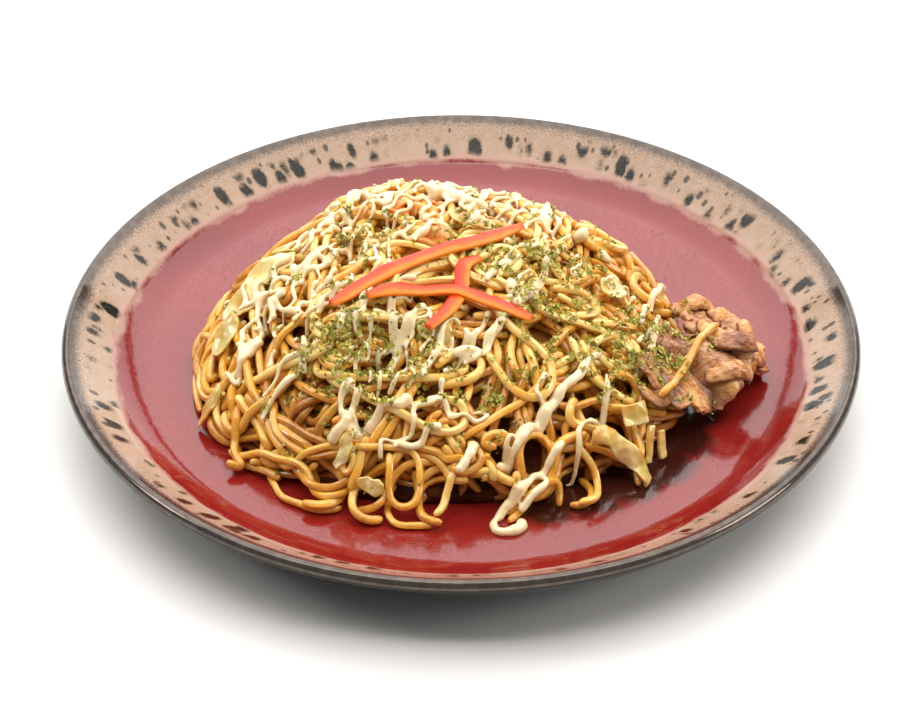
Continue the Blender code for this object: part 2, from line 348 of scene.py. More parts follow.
def glazed_stoneware(choice):
    """Deep red speckled floor, cream band with dark drops, gunmetal rim, and a dark underside painted darker
    still as painted shade.
    """
    made = Finish("glazed_stoneware")
    place = made.object_place()
    parts = made.parts(place)
    flat = made.node("ShaderNodeCombineXYZ", X=parts["X"], Y=parts["Y"])
    radius = made.vector("LENGTH", flat.outputs[0]).outputs["Value"]

    def wave(scale, detail, size):
        """Noise that swings by size about nought."""
        return made.times(made.minus(made.noise(place, scale, detail), 0.5), size)

    # The glaze runs down the wall in soft lobes
    edge = made.plus(radius, made.plus(wave(95, 1, 0.0050), wave(750, 2, 0.0014)))
    outer = made.plus(radius, made.plus(wave(60, 1, 0.0016), wave(1500, 2, 0.0040)))

    pepper = made.node("ShaderNodeTexVoronoi", {"feature": "F1"}, Vector=place, Scale=1300.0)
    specks = made.span(pepper.outputs["Distance"], 0.14, 0.38)
    clear = made.span(made.noise(place, 420, 2), 0.40, 0.60)
    specks = made.maths("MAXIMUM", specks, made.times(clear, 0.45))
    red = made.mix(specks, (0.100, 0.007, 0.007, 1.0), choice.red)
    tone = made.span(made.noise(place, 28, 3), 0.3, 0.7)
    red = made.mix(tone, red, made.mix(0.5, red, (0.17, 0.008, 0.008, 1.0)))
    # the red is painted dark brown in patches in front of the heap's right foot
    spread = wave(110, 3, 0.010)
    darker_patch = 0.0
    for x, y, reach in DARK_PATCHES_BY_HEAP:
        away = made.vector("DISTANCE", flat.outputs[0])
        made.plug(away, "#1", (x * MM, y * MM, 0.0))
        near = made.plus(away.outputs["Value"], spread)
        darker_patch = made.maths(
            "MAXIMUM", darker_patch, made.span(near, (reach + PATCH_FADE) * MM, (reach - PATCH_FADE) * MM))
    red = made.mix(made.times(darker_patch, 0.9), red, (0.020, 0.008, 0.005, 1.0))

    # Drops in the cream band: cells on an upright cylinder, squeezed along the radius
    outward = made.vector("NORMALIZE", flat.outputs[0]).outputs[0]
    ring = made.parts(made.vector("SCALE", outward, Scale=DRUM_RADIUS).outputs[0])

    def drops(pitch, squeeze, small, large, lean):
        """Soft round drops whose size changes from one to the next, leaning along the ring."""
        height = made.times(radius, squeeze)
        across = made.plus(ring["X"], made.times(radius, lean))
        drum = made.node("ShaderNodeCombineXYZ", X=across, Y=ring["Y"], Z=height)
        cells = made.node("ShaderNodeTexVoronoi", {"feature": "F1"}, Vector=drum.outputs[0], Scale=pitch)
        draw = made.node("ShaderNodeSeparateColor", Color=cells.outputs["Color"]).outputs[0]
        size = made.plus(small, made.times(draw, large - small))
        ragged = wave(800, 2, 0.22)
        return made.minus(made.plus(cells.outputs["Distance"], ragged), size)

    main_row = drops(170.0, 0.62, 0.25, 0.47, 0.10)
    small_row = drops(330.0, 0.75, -0.12, 0.38, 0.0)
    inside = made.span(made.maths("ABSOLUTE", made.minus(edge, DROPS_RADIUS)), 0.0044, 0.0026)
    wide = made.span(made.maths("ABSOLUTE", made.minus(edge, DOTS_RADIUS)), 0.0050, 0.0036)
    drop = made.times(made.span(main_row, 0.05, -0.06), inside)
    dot = made.times(made.span(small_row, 0.05, -0.08), wide)
    halo = made.times(made.span(main_row, 0.16, 0.0), inside)
    cream = made.mix(
        made.span(made.noise(place, 260, 3), 0.35, 0.65), choice.cream, (0.47, 0.315, 0.212, 1.0))
    salmon = made.span(edge, 0.1165, 0.1130)
    cream = made.mix(salmon, cream, (0.50, 0.27, 0.22, 1.0))
    cream = made.mix(made.times(halo, 0.55), cream, (0.26, 0.18, 0.09, 1.0))
    cream = made.mix(made.times(dot, 0.9), cream, (0.060, 0.040, 0.026, 1.0))
    cream = made.mix(drop, cream, (0.014, 0.013, 0.010, 1.0))
    dust = made.span(made.noise(place, 1700, 2), 0.50, 0.62)
    dusty = made.times(made.span(radius, 0.1155, 0.1245), 0.55)
    cream = made.mix(made.times(dust, dusty), cream, (0.16, 0.095, 0.062, 1.0))

    rim = made.span(outer, choice.band_edge - RIM_BLEND, choice.band_edge + RIM_BLEND)
    inner = made.span(edge, choice.red_edge - BLEND, choice.red_edge + BLEND)
    colour = made.mix(inner, red, cream)
    mottle = made.span(made.noise(place, 380, 3), 0.42, 0.62)
    dark_rim = made.mix(made.times(mottle, 0.6), choice.rim, (0.165, 0.130, 0.106, 1.0))
    colour = made.mix(rim, colour, dark_rim)
    # Faces that turn downwards are painted near black: the underside's glaze is dark brown-grey, and this
    # darker colour is painted shade as well
    normal = made.node("ShaderNodeNewGeometry")
    below = made.span(made.parts(normal.outputs["Normal"])["Z"], 0.05, -0.05)
    made.colour(made.mix(below, colour, (0.014, 0.010, 0.008, 1.0)))
    lustre = made.times(rim, made.minus(1.0, below))
    made.set(Roughness=0.09, IOR=1.56)
    # The cream band is duller than the red
    made.plug(made.shader, "Specular IOR Level", made.minus(0.5, made.times(inner, 0.3)))
    made.plug(made.shader, "Metallic", made.times(lustre, 0.6))
    # Fine pits in the red glaze, over a faint swell
    pits = made.times(made.maths("MAXIMUM", specks, inner), 0.25)
    made.bump(made.plus(made.noise(place, 90, 2), pits), 0.06, 0.002)
    return made.material


def noodle_finish(choice):
    """Cooked noodle, moist and waxy: pale to brown by its tone, which holds the sauce that each strand took
    up and painted shade, darker deep in the heap and low down.
    """
    made = Finish("fried_noodle")
    place = made.object_place()
    tone = made.attribute("tone")
    cloud = made.noise(place, 130, 3)
    streak = made.noise(place, 620, 3)
    amount = made.plus(tone, made.times(made.minus(cloud, 0.5), 0.9))
    amount = made.plus(amount, made.times(made.minus(streak, 0.5), 0.35))
    mid = [0.5 * (a + b) for a, b in zip(choice.pale, choice.sauced)]
    colour = made.ramp(amount, [
        (0.00, (0.95, 0.66, 0.22, 1.0)), (0.32, choice.pale), (0.62, mid), (0.95, choice.sauced)])
    made.colour(colour)
    made.set(
        Roughness=0.30, Specular_IOR_Level=0.30, Subsurface_Weight=0.50, Subsurface_Scale=0.0022,
        Subsurface_Radius=(1.0, 0.36, 0.06), Coat_Weight=0.80, Coat_Roughness=0.04)
    made.bump(made.noise(place, 900, 2), 0.10, 0.0004)
    return made.material


def sauce_and_shade_finish():
    """Painted shade over the saucy inside of the heap: near black low down, browner and lighter higher up,
    where more light reaches between the strands.
    """
    made = Finish("saucy_core")
    place = made.object_place()
    soaked = made.ramp(made.noise(place, 260, 4), [
        (0.30, (0.032, 0.007, 0.001, 1.0)), (0.70, (0.110, 0.028, 0.004, 1.0))])
    height = made.parts(place)["Z"]
    # painted lighter higher up, where more light reaches between the strands
    made.colour(made.mix(made.span(height, 0.022, 0.042), soaked, (0.30, 0.110, 0.018, 1.0)))
    made.set(Roughness=0.7, Specular_IOR_Level=0.12)
    made.bump(made.noise(place, 500, 3), 0.6, 0.001)
    return made.material


# ---- plate

# The plate's section, in metres: the round lip's radius, where the wall begins, the
# underside's outer and inner radius, and the foot ring in (radius, height) from outside in
LIP = 0.0023
WALL_START = 0.098
UNDERSIDE = (0.1262, 0.0815)
FOOT_RING = (
    (0.0797, 0.0024), (0.0792, 0.0010), (0.0788, 0.0003), (0.0780, 0.0), (0.0712, 0.0),
    (0.0704, 0.0003), (0.0700, 0.0010), (0.0694, 0.0024), (0.0685, 0.0030), (0.0, 0.0030))


def plate_section():
    """The plate's section in (radius, height), from its middle over the lip and back below."""
    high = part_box("plate")[1]
    tree = shape_tree(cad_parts["plate"])
    crest = high.x - LIP

    def surface(radius, start, way):
        """Height of the frame's plate at a radius, from above or below."""
        hit = tree.ray_cast(Vector((radius, 0.0001, start)), Vector((0, 0, way)))[0]
        return hit.z

    floor = [(radius, surface(radius, 1.0, -1.0)) for radius in np.linspace(0.0, 0.097, 12)]
    wall = [(radius, plate_floor(radius / MM) * MM) for radius in np.linspace(WALL_START, crest, 60)]
    turn = np.radians(np.linspace(75, -50, 11))
    round_lip = [(crest + LIP * math.cos(a), high.z - LIP + LIP * math.sin(a)) for a in turn]
    below = [(radius, surface(radius, -1.0, 1.0)) for radius in np.linspace(*UNDERSIDE, 16)]
    return floor + wall + round_lip + below + list(FOOT_RING)


def draw_section(section):
    """Draws a section point by point, by extruding one vertex, and leaves it in edit mode."""
    bpy.ops.mesh.primitive_plane_add(size=0.01, location=(0, 0, 0))
    bpy.ops.object.mode_set(mode="EDIT")
    bpy.ops.mesh.select_all(action="SELECT")
    bpy.ops.mesh.merge(type="CENTER")
    bpy.ops.transform.translate(value=(section[0][0], 0.0, section[0][1]))
    for (r0, z0), (r1, z1) in zip(section, section[1:]):
        bpy.ops.mesh.extrude_vertices_move(TRANSFORM_OT_translate={"value": (r1 - r0, 0.0, z1 - z0)})


class NOODLES_OT_plate(bpy.types.Operator):
    """Spins the plate's section and glazes it"""
    bl_idname = "noodles.plate"
    bl_label = "Plate"

    def execute(self, context):
        choice = context.scene.noodle_plate
        deselect()
        draw_section(plate_section())
        bpy.ops.mesh.select_all(action="SELECT")
        bpy.ops.mesh.spin(
            steps=choice.steps, angle=math.tau, center=(0, 0, 0), axis=(0, 0, 1), use_auto_merge=True)
        bpy.ops.mesh.select_all(action="SELECT")
        bpy.ops.mesh.remove_doubles(threshold=0.00001)
        bpy.ops.mesh.normals_make_consistent(inside=False)
        bpy.ops.object.mode_set(mode="OBJECT")
        made = context.object
        made.name = made.data.name = "stoneware_plate"
        smooth(made, CREASE)
        made.data.materials.append(glazed_stoneware(choice))
        hand_over(made, "stoneware", "plate")
        return {"FINISHED"}


# ---- noodles

# The plate's glazed face, in millimetres: the height of its floor, the floor's rise to its
# edge, the turn up into the wall, the wall's slope, and the roll where the red glaze ends
FLOOR_HEIGHT, FLOOR_RISE, FLOOR_EDGE = 8.5, 0.8, 102.0
WALL_TURN, WALL_SLOPE = 11.0, 0.7772
ROLL_HEIGHT, ROLL_RADIUS, ROLL_WIDTH = 0.22, 114.3, 0.9


def plate_floor(radius):
    """Height of the plate's glaze at a distance from its middle, both in millimetres."""
    beyond = radius - FLOOR_EDGE
    turned = np.clip(beyond, 0.0, WALL_TURN)
    wall = WALL_SLOPE * (turned ** 2 / (2 * WALL_TURN) + np.maximum(beyond - WALL_TURN, 0.0))
    roll = ROLL_HEIGHT * np.exp(-((radius - ROLL_RADIUS) / ROLL_WIDTH) ** 2)
    return FLOOR_HEIGHT + FLOOR_RISE * np.minimum(radius / FLOOR_EDGE, 1.0) ** 2 + wall + roll


class Shell:
    """How far a point, in millimetres, lies outside the heap's dome, on a grid of cells."""

    CELL = 2.0
    # Room kept below the heap's lowest and beyond its highest corner
    BELOW = (16.0, 16.0, 4.0)
    BEYOND = (16.0, 16.0, 12.0)

    def __init__(self, heap):
        mesh = heap.data
        keep = [face for face in mesh.polygons if face.normal.z > -0.5]
        points = [point.co / MM for point in mesh.vertices]
        tree = BVHTree.FromPolygons(points, [list(face.vertices) for face in keep])
        low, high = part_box("noodle_heap")
        self.low = np.array(low) / MM - self.BELOW
        top = np.array(high) / MM + self.BEYOND
        self.size = np.ceil((top - self.low) / self.CELL).astype(int) + 1
        away = np.zeros(self.size)
        for cell in np.ndindex(*self.size):
            place = Vector(self.low + np.array(cell) * self.CELL)
            near, normal, _, distance = tree.find_nearest(place)
            away[cell] = distance if (place - near).dot(normal) >= 0 else -distance
        slopes = np.gradient(away, self.CELL)
        self.table = np.stack([away] + list(slopes), axis=-1)

    def look_up(self, points):
        """Distance outside the dome and the outward direction, for each point."""
        spot = np.clip((points - self.low) / self.CELL, 0, self.size - 1.001)
        whole = spot.astype(int)
        part = spot - whole
        total = 0.0
        for i, j, k in product((0, 1), repeat=3):
            share = np.abs(1 - i - part[:, 0]) * np.abs(1 - j - part[:, 1]) * np.abs(1 - k - part[:, 2])
            corner = self.table[whole[:, 0] + i, whole[:, 1] + j, whole[:, 2] + k]
            total = total + corner * share[:, None]
        return total[:, 0], unit(total[:, 1:], 1e-6)


class HeapBed:
    """The heap's core and the plate round it, unrolled like a map, to lay strands on.

    A spot on the map is (u, v) in millimetres from the heap's middle, measured along the
    surface. The table gives each spot's point and its outward direction, and cover is how
    thick the noodles lie there so far.
    """

    TURNS = 180
    CELL = 0.5
    REACH = 132.0
    # Places read over the heap, in each direction
    OVER_HEAP = 80

    def __init__(self, depth):
        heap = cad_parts["noodle_heap"]
        low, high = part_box("noodle_heap")
        self.middle = np.array([(low.x + high.x) / 2, (low.y + high.y) / 2]) / MM
        self.depth = depth / MM
        self.heap = shape_tree(heap)
        self.top = high.z / MM
        self.trace()
        size = int(2 * self.REACH / self.CELL) + 1
        self.cover = np.zeros((size, size))

    def trace(self):
        """Follows the core down and out onto the plate, in each direction."""
        samples = int(self.REACH / self.CELL) + 1
        self.foot = np.zeros(self.TURNS)
        rows = []
        for turn in range(self.TURNS):
            angle = turn * math.tau / self.TURNS
            rows.append(self.trace_one(turn, np.array([math.cos(angle), math.sin(angle)]), samples))
        self.places = np.array(rows)
        for _ in range(2):
            self.places = (
                np.roll(self.places, 1, 0) + 2 * self.places + np.roll(self.places, -1, 0)) / 4
        slope = np.gradient(self.places, axis=1)
        slope = np.stack([blurred(slope[..., 0], 11), blurred(slope[..., 1], 11)], axis=-1)
        slope /= np.maximum(np.linalg.norm(slope, axis=-1, keepdims=True), 1e-9)
        self.outward = np.stack([-slope[..., 1], slope[..., 0]], axis=-1)

    def direction(self, x, y):
        """The tables' row for the way to a map spot."""
        return int(math.atan2(y, x) / math.tau * self.TURNS) % self.TURNS

    def level(self, x, y):
        """Height of the frame's heap at a place, or None beyond it."""
        hit = self.heap.ray_cast(Vector((x * MM, y * MM, ABOVE_ALL * MM)), Vector((0, 0, -1)))[0]
        return None if hit is None else hit.z / MM

    def trace_one(self, turn, way, samples):
        """Evenly spaced (distance, height) samples down the core and over the plate."""
        reach = 20.0
        while self.level(*(self.middle + way * reach)) is not None:
            reach += 0.5
        floor = plate_floor(np.linalg.norm(self.middle + way * reach))
        inner = (reach - self.depth) / reach
        lower = 1.0 - self.depth / (self.top - floor)
        profile = []
        for share in np.linspace(0.0, 0.985, self.OVER_HEAP):
            place = self.middle + way * reach * share
            base = plate_floor(np.linalg.norm(place))
            profile.append((share * reach * inner, base + (self.level(*place) - base) * lower))
        for radius in np.arange(reach * inner + 0.3, reach + 30.0, 0.8):
            profile.append((radius, plate_floor(np.linalg.norm(self.middle + way * radius))))
        profile = np.array(profile)
        along = np.concatenate([[0], np.cumsum(np.linalg.norm(np.diff(profile, axis=0), axis=1))])
        self.foot[turn] = along[self.OVER_HEAP]
        even = np.arange(samples) * self.CELL
        made = np.stack([np.interp(even, along, profile[:, k]) for k in (0, 1)], axis=-1)
        return np.stack([blurred(made[:, 0], 9), blurred(made[:, 1], 9)], axis=-1)

    def look_up(self, table, distance, angle):
        """Reads a (direction, distance) table between its entries."""
        turn = (angle / math.tau * self.TURNS) % self.TURNS
        t0 = np.floor(turn).astype(int) % self.TURNS
        tf = (turn - np.floor(turn))[..., None]
        spot = np.clip(distance / self.CELL, 0, table.shape[1] - 1.001)
        s0 = spot.astype(int)
        sf = (spot - s0)[..., None]
        t1 = (t0 + 1) % self.TURNS
        near = table[t0, s0] * (1 - sf) + table[t0, s0 + 1] * sf
        far = table[t1, s0] * (1 - sf) + table[t1, s0 + 1] * sf
        return near * (1 - tf) + far * tf

    def points(self, spots, heights):
        """World points, in millimetres, of map spots at heights over the core."""
        distance = np.linalg.norm(spots, axis=1)
        angle = np.arctan2(spots[:, 1], spots[:, 0])
        base = self.look_up(self.places, distance, angle)
        out = unit(self.look_up(self.outward, distance, angle), 0.0)
        flat = base + out * heights[:, None]
        return np.stack([
            self.middle[0] + flat[:, 0] * np.cos(angle),
            self.middle[1] + flat[:, 0] * np.sin(angle),
            flat[:, 1]], axis=1)

    def squeeze(self, x, y):
        """How much longer a sideways step is on the map than on the heap, at a map spot."""
        distance = max(math.hypot(x, y), 1e-6)
        spot = min(int(distance / self.CELL), self.places.shape[1] - 1)
        return distance / max(self.places[self.direction(x, y), spot, 0], 0.5 * distance, 1.0)

    def foot_at(self, x, y):
        return self.foot[self.direction(x, y)]

    def spot(self, x, y):
        """The map spot over a place in millimetres."""
        aside = np.array((x, y)) - self.middle
        angle = math.atan2(aside[1], aside[0])
        reach = np.maximum.accumulate(self.places[self.direction(*aside), :, 0])
        distance = np.interp(math.hypot(*aside) - 2.0, reach, np.arange(len(reach)) * self.CELL)
        return distance * math.cos(angle), distance * math.sin(angle)

    def cells(self, spots):
        """The cells of the cover that hold map spots."""
        return np.rint((spots + self.REACH) / self.CELL).astype(int)

    def lay(self, spots, radius, bend):
        """Rests a limp strand on what lies below it, adds it to the cover, returns its heights."""
        span = int(math.ceil(radius / self.CELL))
        offsets = np.array([
            (i, j) for i in range(-span, span + 1) for j in range(-span, span + 1)
            if math.hypot(i, j) * self.CELL <= radius])
        caps = np.sqrt(np.maximum(radius ** 2 - (np.hypot(*offsets.T) * self.CELL) ** 2, 0.0))
        cells = self.cells(spots)
        limit = self.cover.shape[0] - 1
        around = np.clip(cells[:, None, :] + offsets[None], 0, limit)
        held = (self.cover[around[..., 0], around[..., 1]] + caps).max(axis=1)
        bridged = held.copy()
        for k in range(1, min(14, len(held))):
            sag = bend * k * k
            bridged[k:] = np.maximum(bridged[k:], held[:-k] - sag)
            bridged[:-k] = np.maximum(bridged[:-k], held[k:] - sag)
        heights = np.maximum(blurred(bridged, 5), held - 0.35)
        stamp = heights[:, None] + caps[None]
        np.maximum.at(self.cover, (around[..., 0], around[..., 1]), stamp)
        return heights

    def pressed(self, spots, heights):
        """Heights after the whole layer is pressed down to its depth."""
        cells = self.cells(spots)
        thick = self.smooth_cover[cells[:, 0], cells[:, 1]]
        return heights * np.clip(self.depth / np.maximum(thick, 1.0), 0.35, 1.0)

    def even_cover(self):
        """Evens out the cover, once all strands are laid."""
        self.smooth_cover = self.cover
        for _ in range(2):
            self.smooth_cover = blurred(blurred(self.smooth_cover, 17).T, 17).T


def bends(rng, length, curl):
    """How much a strand turns at each 1 mm step: straight runs, arcs and tight loops."""
    turn = np.zeros(int(length) + 12)
    k = 0
    while k < len(turn):
        kind, sense = rng.uniform(), rng.choice((-1.0, 1.0))
        if kind < 0.30:
            run, amount = rng.integers(8, 24), rng.normal(0.0, 0.02)
        elif kind < 0.78:
            run, amount = rng.integers(10, 34), sense * rng.uniform(0.035, 0.10)
        else:
            run, amount = rng.integers(9, 20), sense * rng.uniform(0.13, 0.24)
        turn[k:k + run] = amount * curl
        k += run
    return blurred(turn + rng.normal(0.0, 0.03, len(turn)), 7)[:int(length)]


def wander(bed, start, heading, turns, *, tight, reach):
    """A limp strand's way over the map, in 1 mm steps, that keeps within reach of the foot."""
    x, y = start
    spots = []
    steer = 0.0
    for turn in turns:
        spots.append((x, y))
        distance = max(math.hypot(x, y), 1e-6)
        outward = math.atan2(y, x)
        # only the listed strands come right down the front
        over = distance - (bed.foot_at(x, y) + reach - 4.5 * max(-y, 0.0) / distance)
        facing = math.cos(heading - outward)
        if over > -5.0 and facing > -0.35:
            # near the heap's foot a strand turns round, and runs back up or along it
            if steer == 0.0:
                steer = 1.0 if math.sin(heading - outward) >= 0 else -1.0
            turn = 0.3 * turn + steer * tight * min(1.5, 0.5 + (over + 5.0) / 8.0)
        else:
            steer = 0.0
        heading += turn
        dx, dy = math.cos(heading), math.sin(heading)
        ux, uy = x / distance, y / distance
        out, side = dx * ux + dy * uy, -dx * uy + dy * ux
        side *= bed.squeeze(x, y)
        x += out * ux - side * uy
        y += out * uy + side * ux
    return np.array(spots)


def lowest_start(bed, rng, nearest, furthest):
    """A thinly covered map spot between two shares of the way to the foot, and its angle."""
    best = None
    for _ in range(6):
        angle = rng.uniform(0, math.tau)
        share = math.sqrt(rng.uniform(nearest ** 2, furthest ** 2))
        place = bed.foot[int(angle / math.tau * bed.TURNS)] * share
        spot = np.array([[math.cos(angle), math.sin(angle)]]) * place
        i, j = bed.cells(spot)[0]
        level = bed.cover[i - 8:i + 9:4, j - 8:j + 9:4].mean()
        if share > 0.7:
            # the front foot is left open, for the strands that show
            level += 5.0 * max(-math.sin(angle), 0.0)
        if best is None or level < best[0]:
            best = (level, spot[0], angle)
    return best[1:]


def tucked(bed, spots, heights):
    """Dips a strand's two ends in among the others, unless they lie down at the foot."""
    heights = heights.copy()
    dip = np.linspace(5.0, 0.0, 10)
    for end, order in ((0, 1), (-1, -1)):
        x, y = spots[end]
        if math.hypot(x, y) < 0.93 * bed.foot_at(x, y):
            heights[::order][:len(dip)] -= dip[:len(heights)]
    return heights


def lay_strands(bed, choice):
    """Lays the noodles one after another and returns their points, radii and tones."""
    rng = np.random.default_rng(choice.seed)
    strands, laid, total = [], 0.0, choice.length / MM
    radius_mean = choice.diameter / MM / 2

    def lay(spots, progress, tone_shift=0.0):
        radius = radius_mean * rng.uniform(0.88, 1.12)
        heights = tucked(bed, spots, bed.lay(spots, radius, choice.limpness))
        # strands laid first, deep in the heap, get a darker tone and the last ones on top a paler one:
        # painted shade, on top of each strand's own amount of sauce
        tone = np.clip(0.78 - 0.50 * progress + tone_shift + rng.normal(0.0, 0.10), 0.0, 1.0)
        strands.append((spots, heights, radius, tone))

    while laid < total:
        progress = laid / total
        kind = rng.uniform()
        if kind < 0.64:
            start, angle = lowest_start(bed, rng, 0.0, 0.95)
            heading, curl, length = rng.uniform(0, math.tau), rng.uniform(0.8, 1.6), rng.uniform(70, 180)
        elif kind < 0.90:
            start, angle = lowest_start(bed, rng, 0.35, 0.80)
            heading, curl, length = angle + rng.normal(0.0, 0.55), rng.uniform(0.3, 0.8), rng.uniform(60, 150)
        else:
            start, angle = lowest_start(bed, rng, 0.92, 1.06)
            heading = angle + rng.choice((-1.0, 1.0)) * rng.normal(1.7, 0.2)
            curl, length = rng.uniform(0.3, 0.7), rng.uniform(30, 70)
        turns = bends(rng, length, curl)
        reach = rng.uniform(-2.0, 4.0) if progress < 0.7 else rng.uniform(0.0, 7.0)
        tight, shift = rng.uniform(0.12, 0.24), rng.normal(0.0, 0.08)
        # strands keep together in small bundles, as they came out of the pan
        aside = rng.choice((-1.0, 1.0)) * 2.1 * radius_mean
        for mate in range(int(rng.choice((1, 1, 2, 2, 3)))):
            way = np.array((-math.sin(heading), math.cos(heading)))
            own = turns * rng.uniform(0.9, 1.1) + rng.normal(0.0, 0.004)
            own = own[:max(int(len(own) * rng.uniform(0.7, 1.0)), 20)]
            spots = wander(
                bed, start + way * aside * mate, heading + rng.normal(0.0, 0.05), own,
                tight=tight, reach=reach)
            lay(spots, progress, shift)
            laid += len(spots)
    for route in SHOWN_STRANDS:
        way = np.array([bed.spot(x, y) for x, y in route])
        lay(even_steps(way), 1.0)
    bed.even_cover()
    return [
        (bed.points(spots, bed.pressed(spots, heights))[::2], radius, tone)
        for spots, heights, radius, tone in strands]


# The open hollows between the strands down the front: x, y and half width in millimetres
SHOWN_GAPS = (
    (-41, -75, 4.2), (-27, -80, 4.4), (-8, -81, 4.4), (-17, -81, 4.2), (36, -74, 4.2), (50, -70, 4.2),
    (-66, -57, 3.8), (8, -78, 3.4), (62, -57, 3.2), (-52, -74, 3.0), (-33, -70, 2.6), (-2, -76, 2.8),
    (22, -70, 2.6))

# The strands that show best, each by a few places in millimetres: first the loops and hanging
# ends down the front from left to right, then more of them laid over those, and last the
# open turns on top
SHOWN_STRANDS = (
    ((-84, -22), (-80, -32), (-75, -42), (-69, -46), (-64, -46), (-57, -46)),
    ((-77, -40), (-78, -44), (-75, -49), (-69, -49), (-62, -50)),
    ((-72, -50), (-77, -52), (-78, -56), (-74, -61), (-67, -61), (-61, -55)),
    ((-60, -55), (-59, -62), (-55, -67), (-49, -70), (-42, -70)),
    ((-60, -66), (-60, -70), (-56, -75), (-48, -79), (-41, -80), (-34, -80)),
    ((-34, -68), (-35, -76), (-40, -80), (-47, -83)),
    ((-27, -66), (-31, -73), (-34, -80), (-33, -85), (-27, -88), (-20, -87)),
    ((-18, -75), (-23, -80), (-26, -86), (-22, -90), (-16, -90), (-10, -88)),
    ((-28, -73), (-23, -76), (-18, -73), (-11, -72), (-6, -75)),
    ((-14, -73), (-12, -79), (-11, -84), (-5, -87)),
    ((-11, -70), (-6, -75), (-3, -81), (0, -86)),
    ((-3, -62), (-1, -70), (0, -77), (3, -84), (-3, -89), (-11, -92)),
    ((2, -67), (7, -64), (12, -65), (14, -69), (10, -72), (5, -71)),
    ((5, -72), (10, -73), (12, -77), (9, -80), (5, -81)),
    ((34, -60), (29, -59), (25, -62), (22, -67), (19, -73), (13, -79)),
    ((30, -66), (29, -72), (25, -77), (19, -83), (12, -87)),
    ((37, -62), (41, -66), (43, -70), (41, -75), (36, -81)),
    ((38, -61), (46, -59), (53, -59), (57, -63), (57, -69)),
    ((44, -52), (50, -48), (56, -44), (61, -42), (65, -42), (67, -46)),
    ((52, -42), (58, -38), (64, -36), (69, -37), (73, -42)),
    ((-3, -71), (2, -77), (7, -80), (11, -82), (16, -81), (20, -77)),
    ((-13, -85), (-7, -82), (-2, -79), (3, -75), (6, -69)),
    ((-16, -79), (-10, -82), (-4, -84), (2, -83), (8, -80), (12, -74)),
    ((14, -85), (20, -82), (25, -79), (29, -74), (30, -67)),
    ((43, -44), (48, -41), (53, -44), (53, -50), (48, -53), (43, -52)),
    ((-72, -46), (-66, -50), (-58, -50), (-50, -46), (-45, -40), (-44, -34)),
    ((-62, -60), (-61, -67), (-60, -70), (-54, -74), (-44, -78), (-38, -79)),
    ((-49, -81), (-44, -80), (-40, -78), (-35, -74), (-33, -69), (-32, -62)),
    ((-36, -78), (-33, -83), (-23, -86), (-16, -86), (-8, -84)),
    ((-24, -85), (-25, -80), (-20, -77), (-12, -76), (-8, -79), (-6, -83)),
    ((-13, -88), (-4, -84), (2, -82), (4, -79), (3, -72)),
    ((7, -87), (9, -84), (9, -81), (5, -79), (1, -73)),
    ((33, -80), (38, -77), (39, -73), (36, -71), (34, -75)),
    ((-75, -44), (-76, -50), (-74, -57), (-68, -62), (-62, -64), (-60, -60)),
    ((-76, -52), (-72, -57), (-64, -58), (-56, -60), (-48, -62)),
    ((-64, -38), (-56, -42), (-48, -40), (-42, -44), (-36, -42)),
    ((38, 26), (44, 30), (50, 27), (52, 20), (48, 15), (42, 17)),
    ((56, 14), (61, 18), (66, 14), (66, 7), (61, 4), (56, 7)),
    ((18, 30), (25, 35), (33, 33), (37, 27), (33, 21)),
    ((6, -2), (13, 2), (20, -1), (22, -8), (17, -13), (11, -11)),
    ((30, -14), (36, -10), (43, -13), (44, -20), (38, -26), (31, -24)),
    ((0, 10), (6, 14), (12, 12), (14, 5), (9, 1)),
    ((-6, -44), (0, -40), (7, -42), (9, -48), (4, -53), (-3, -52)),
    ((50, -8), (55, -13), (54, -21), (48, -25), (42, -22)),
)

# The one strand that lies over the pork
STRAND_OVER_PORK = ((83, -9), (80, -13), (76, -21), (72, -29), (68, -37), (65, -44), (60, -48))


def even_steps(way):
    """Places 1 mm apart along a smooth curve through a few places."""
    fine = finer(way, 24)
    along = np.concatenate([[0.0], np.cumsum(np.linalg.norm(np.diff(fine, axis=0), axis=1))])
    steps = np.arange(0.0, along[-1], 1.0)
    return np.stack([np.interp(steps, along, fine[:, axis]) for axis in (0, 1)], axis=1)


def near_pairs(points, reach):
    """All pairs of points closer than about reach, found through a grid of cells."""
    cell = np.floor(points / reach).astype(np.int64)
    cell -= cell.min(axis=0) - 1
    spread = cell.max(axis=0) + 2
    keys = (cell[:, 0] * spread[1] + cell[:, 1]) * spread[2] + cell[:, 2]
    order = np.argsort(keys, kind="stable")
    ranked = keys[order]
    first, second = [], []
    for i, j, k in product((-1, 0, 1), repeat=3):
        shift = (i * spread[1] + j) * spread[2] + k
        if shift < 0:
            continue
        low = np.searchsorted(ranked, ranked + shift, side="left")
        high = np.searchsorted(ranked, ranked + shift, side="right")
        if shift == 0:
            low = np.maximum(low, np.arange(len(ranked)) + 1)
            high = np.maximum(high, low)
        count = high - low
        a = np.repeat(np.arange(len(ranked)), count)
        ends = np.cumsum(count)
        b = np.arange(ends[-1]) - np.repeat(ends - count, count) + np.repeat(low, count)
        first.append(order[a])
        second.append(order[b])
    first, second = np.concatenate(first), np.concatenate(second)
    close = ((points[first] - points[second]) ** 2).sum(axis=1) < reach ** 2
    return first[close], second[close]


def gathered(index_a, index_b, move, count):
    """Sums equal and opposite moves over the points of each pair."""
    return np.stack([
        np.bincount(index_b, move[:, axis], count) - np.bincount(index_a, move[:, axis], count)
        for axis in range(3)], axis=1)


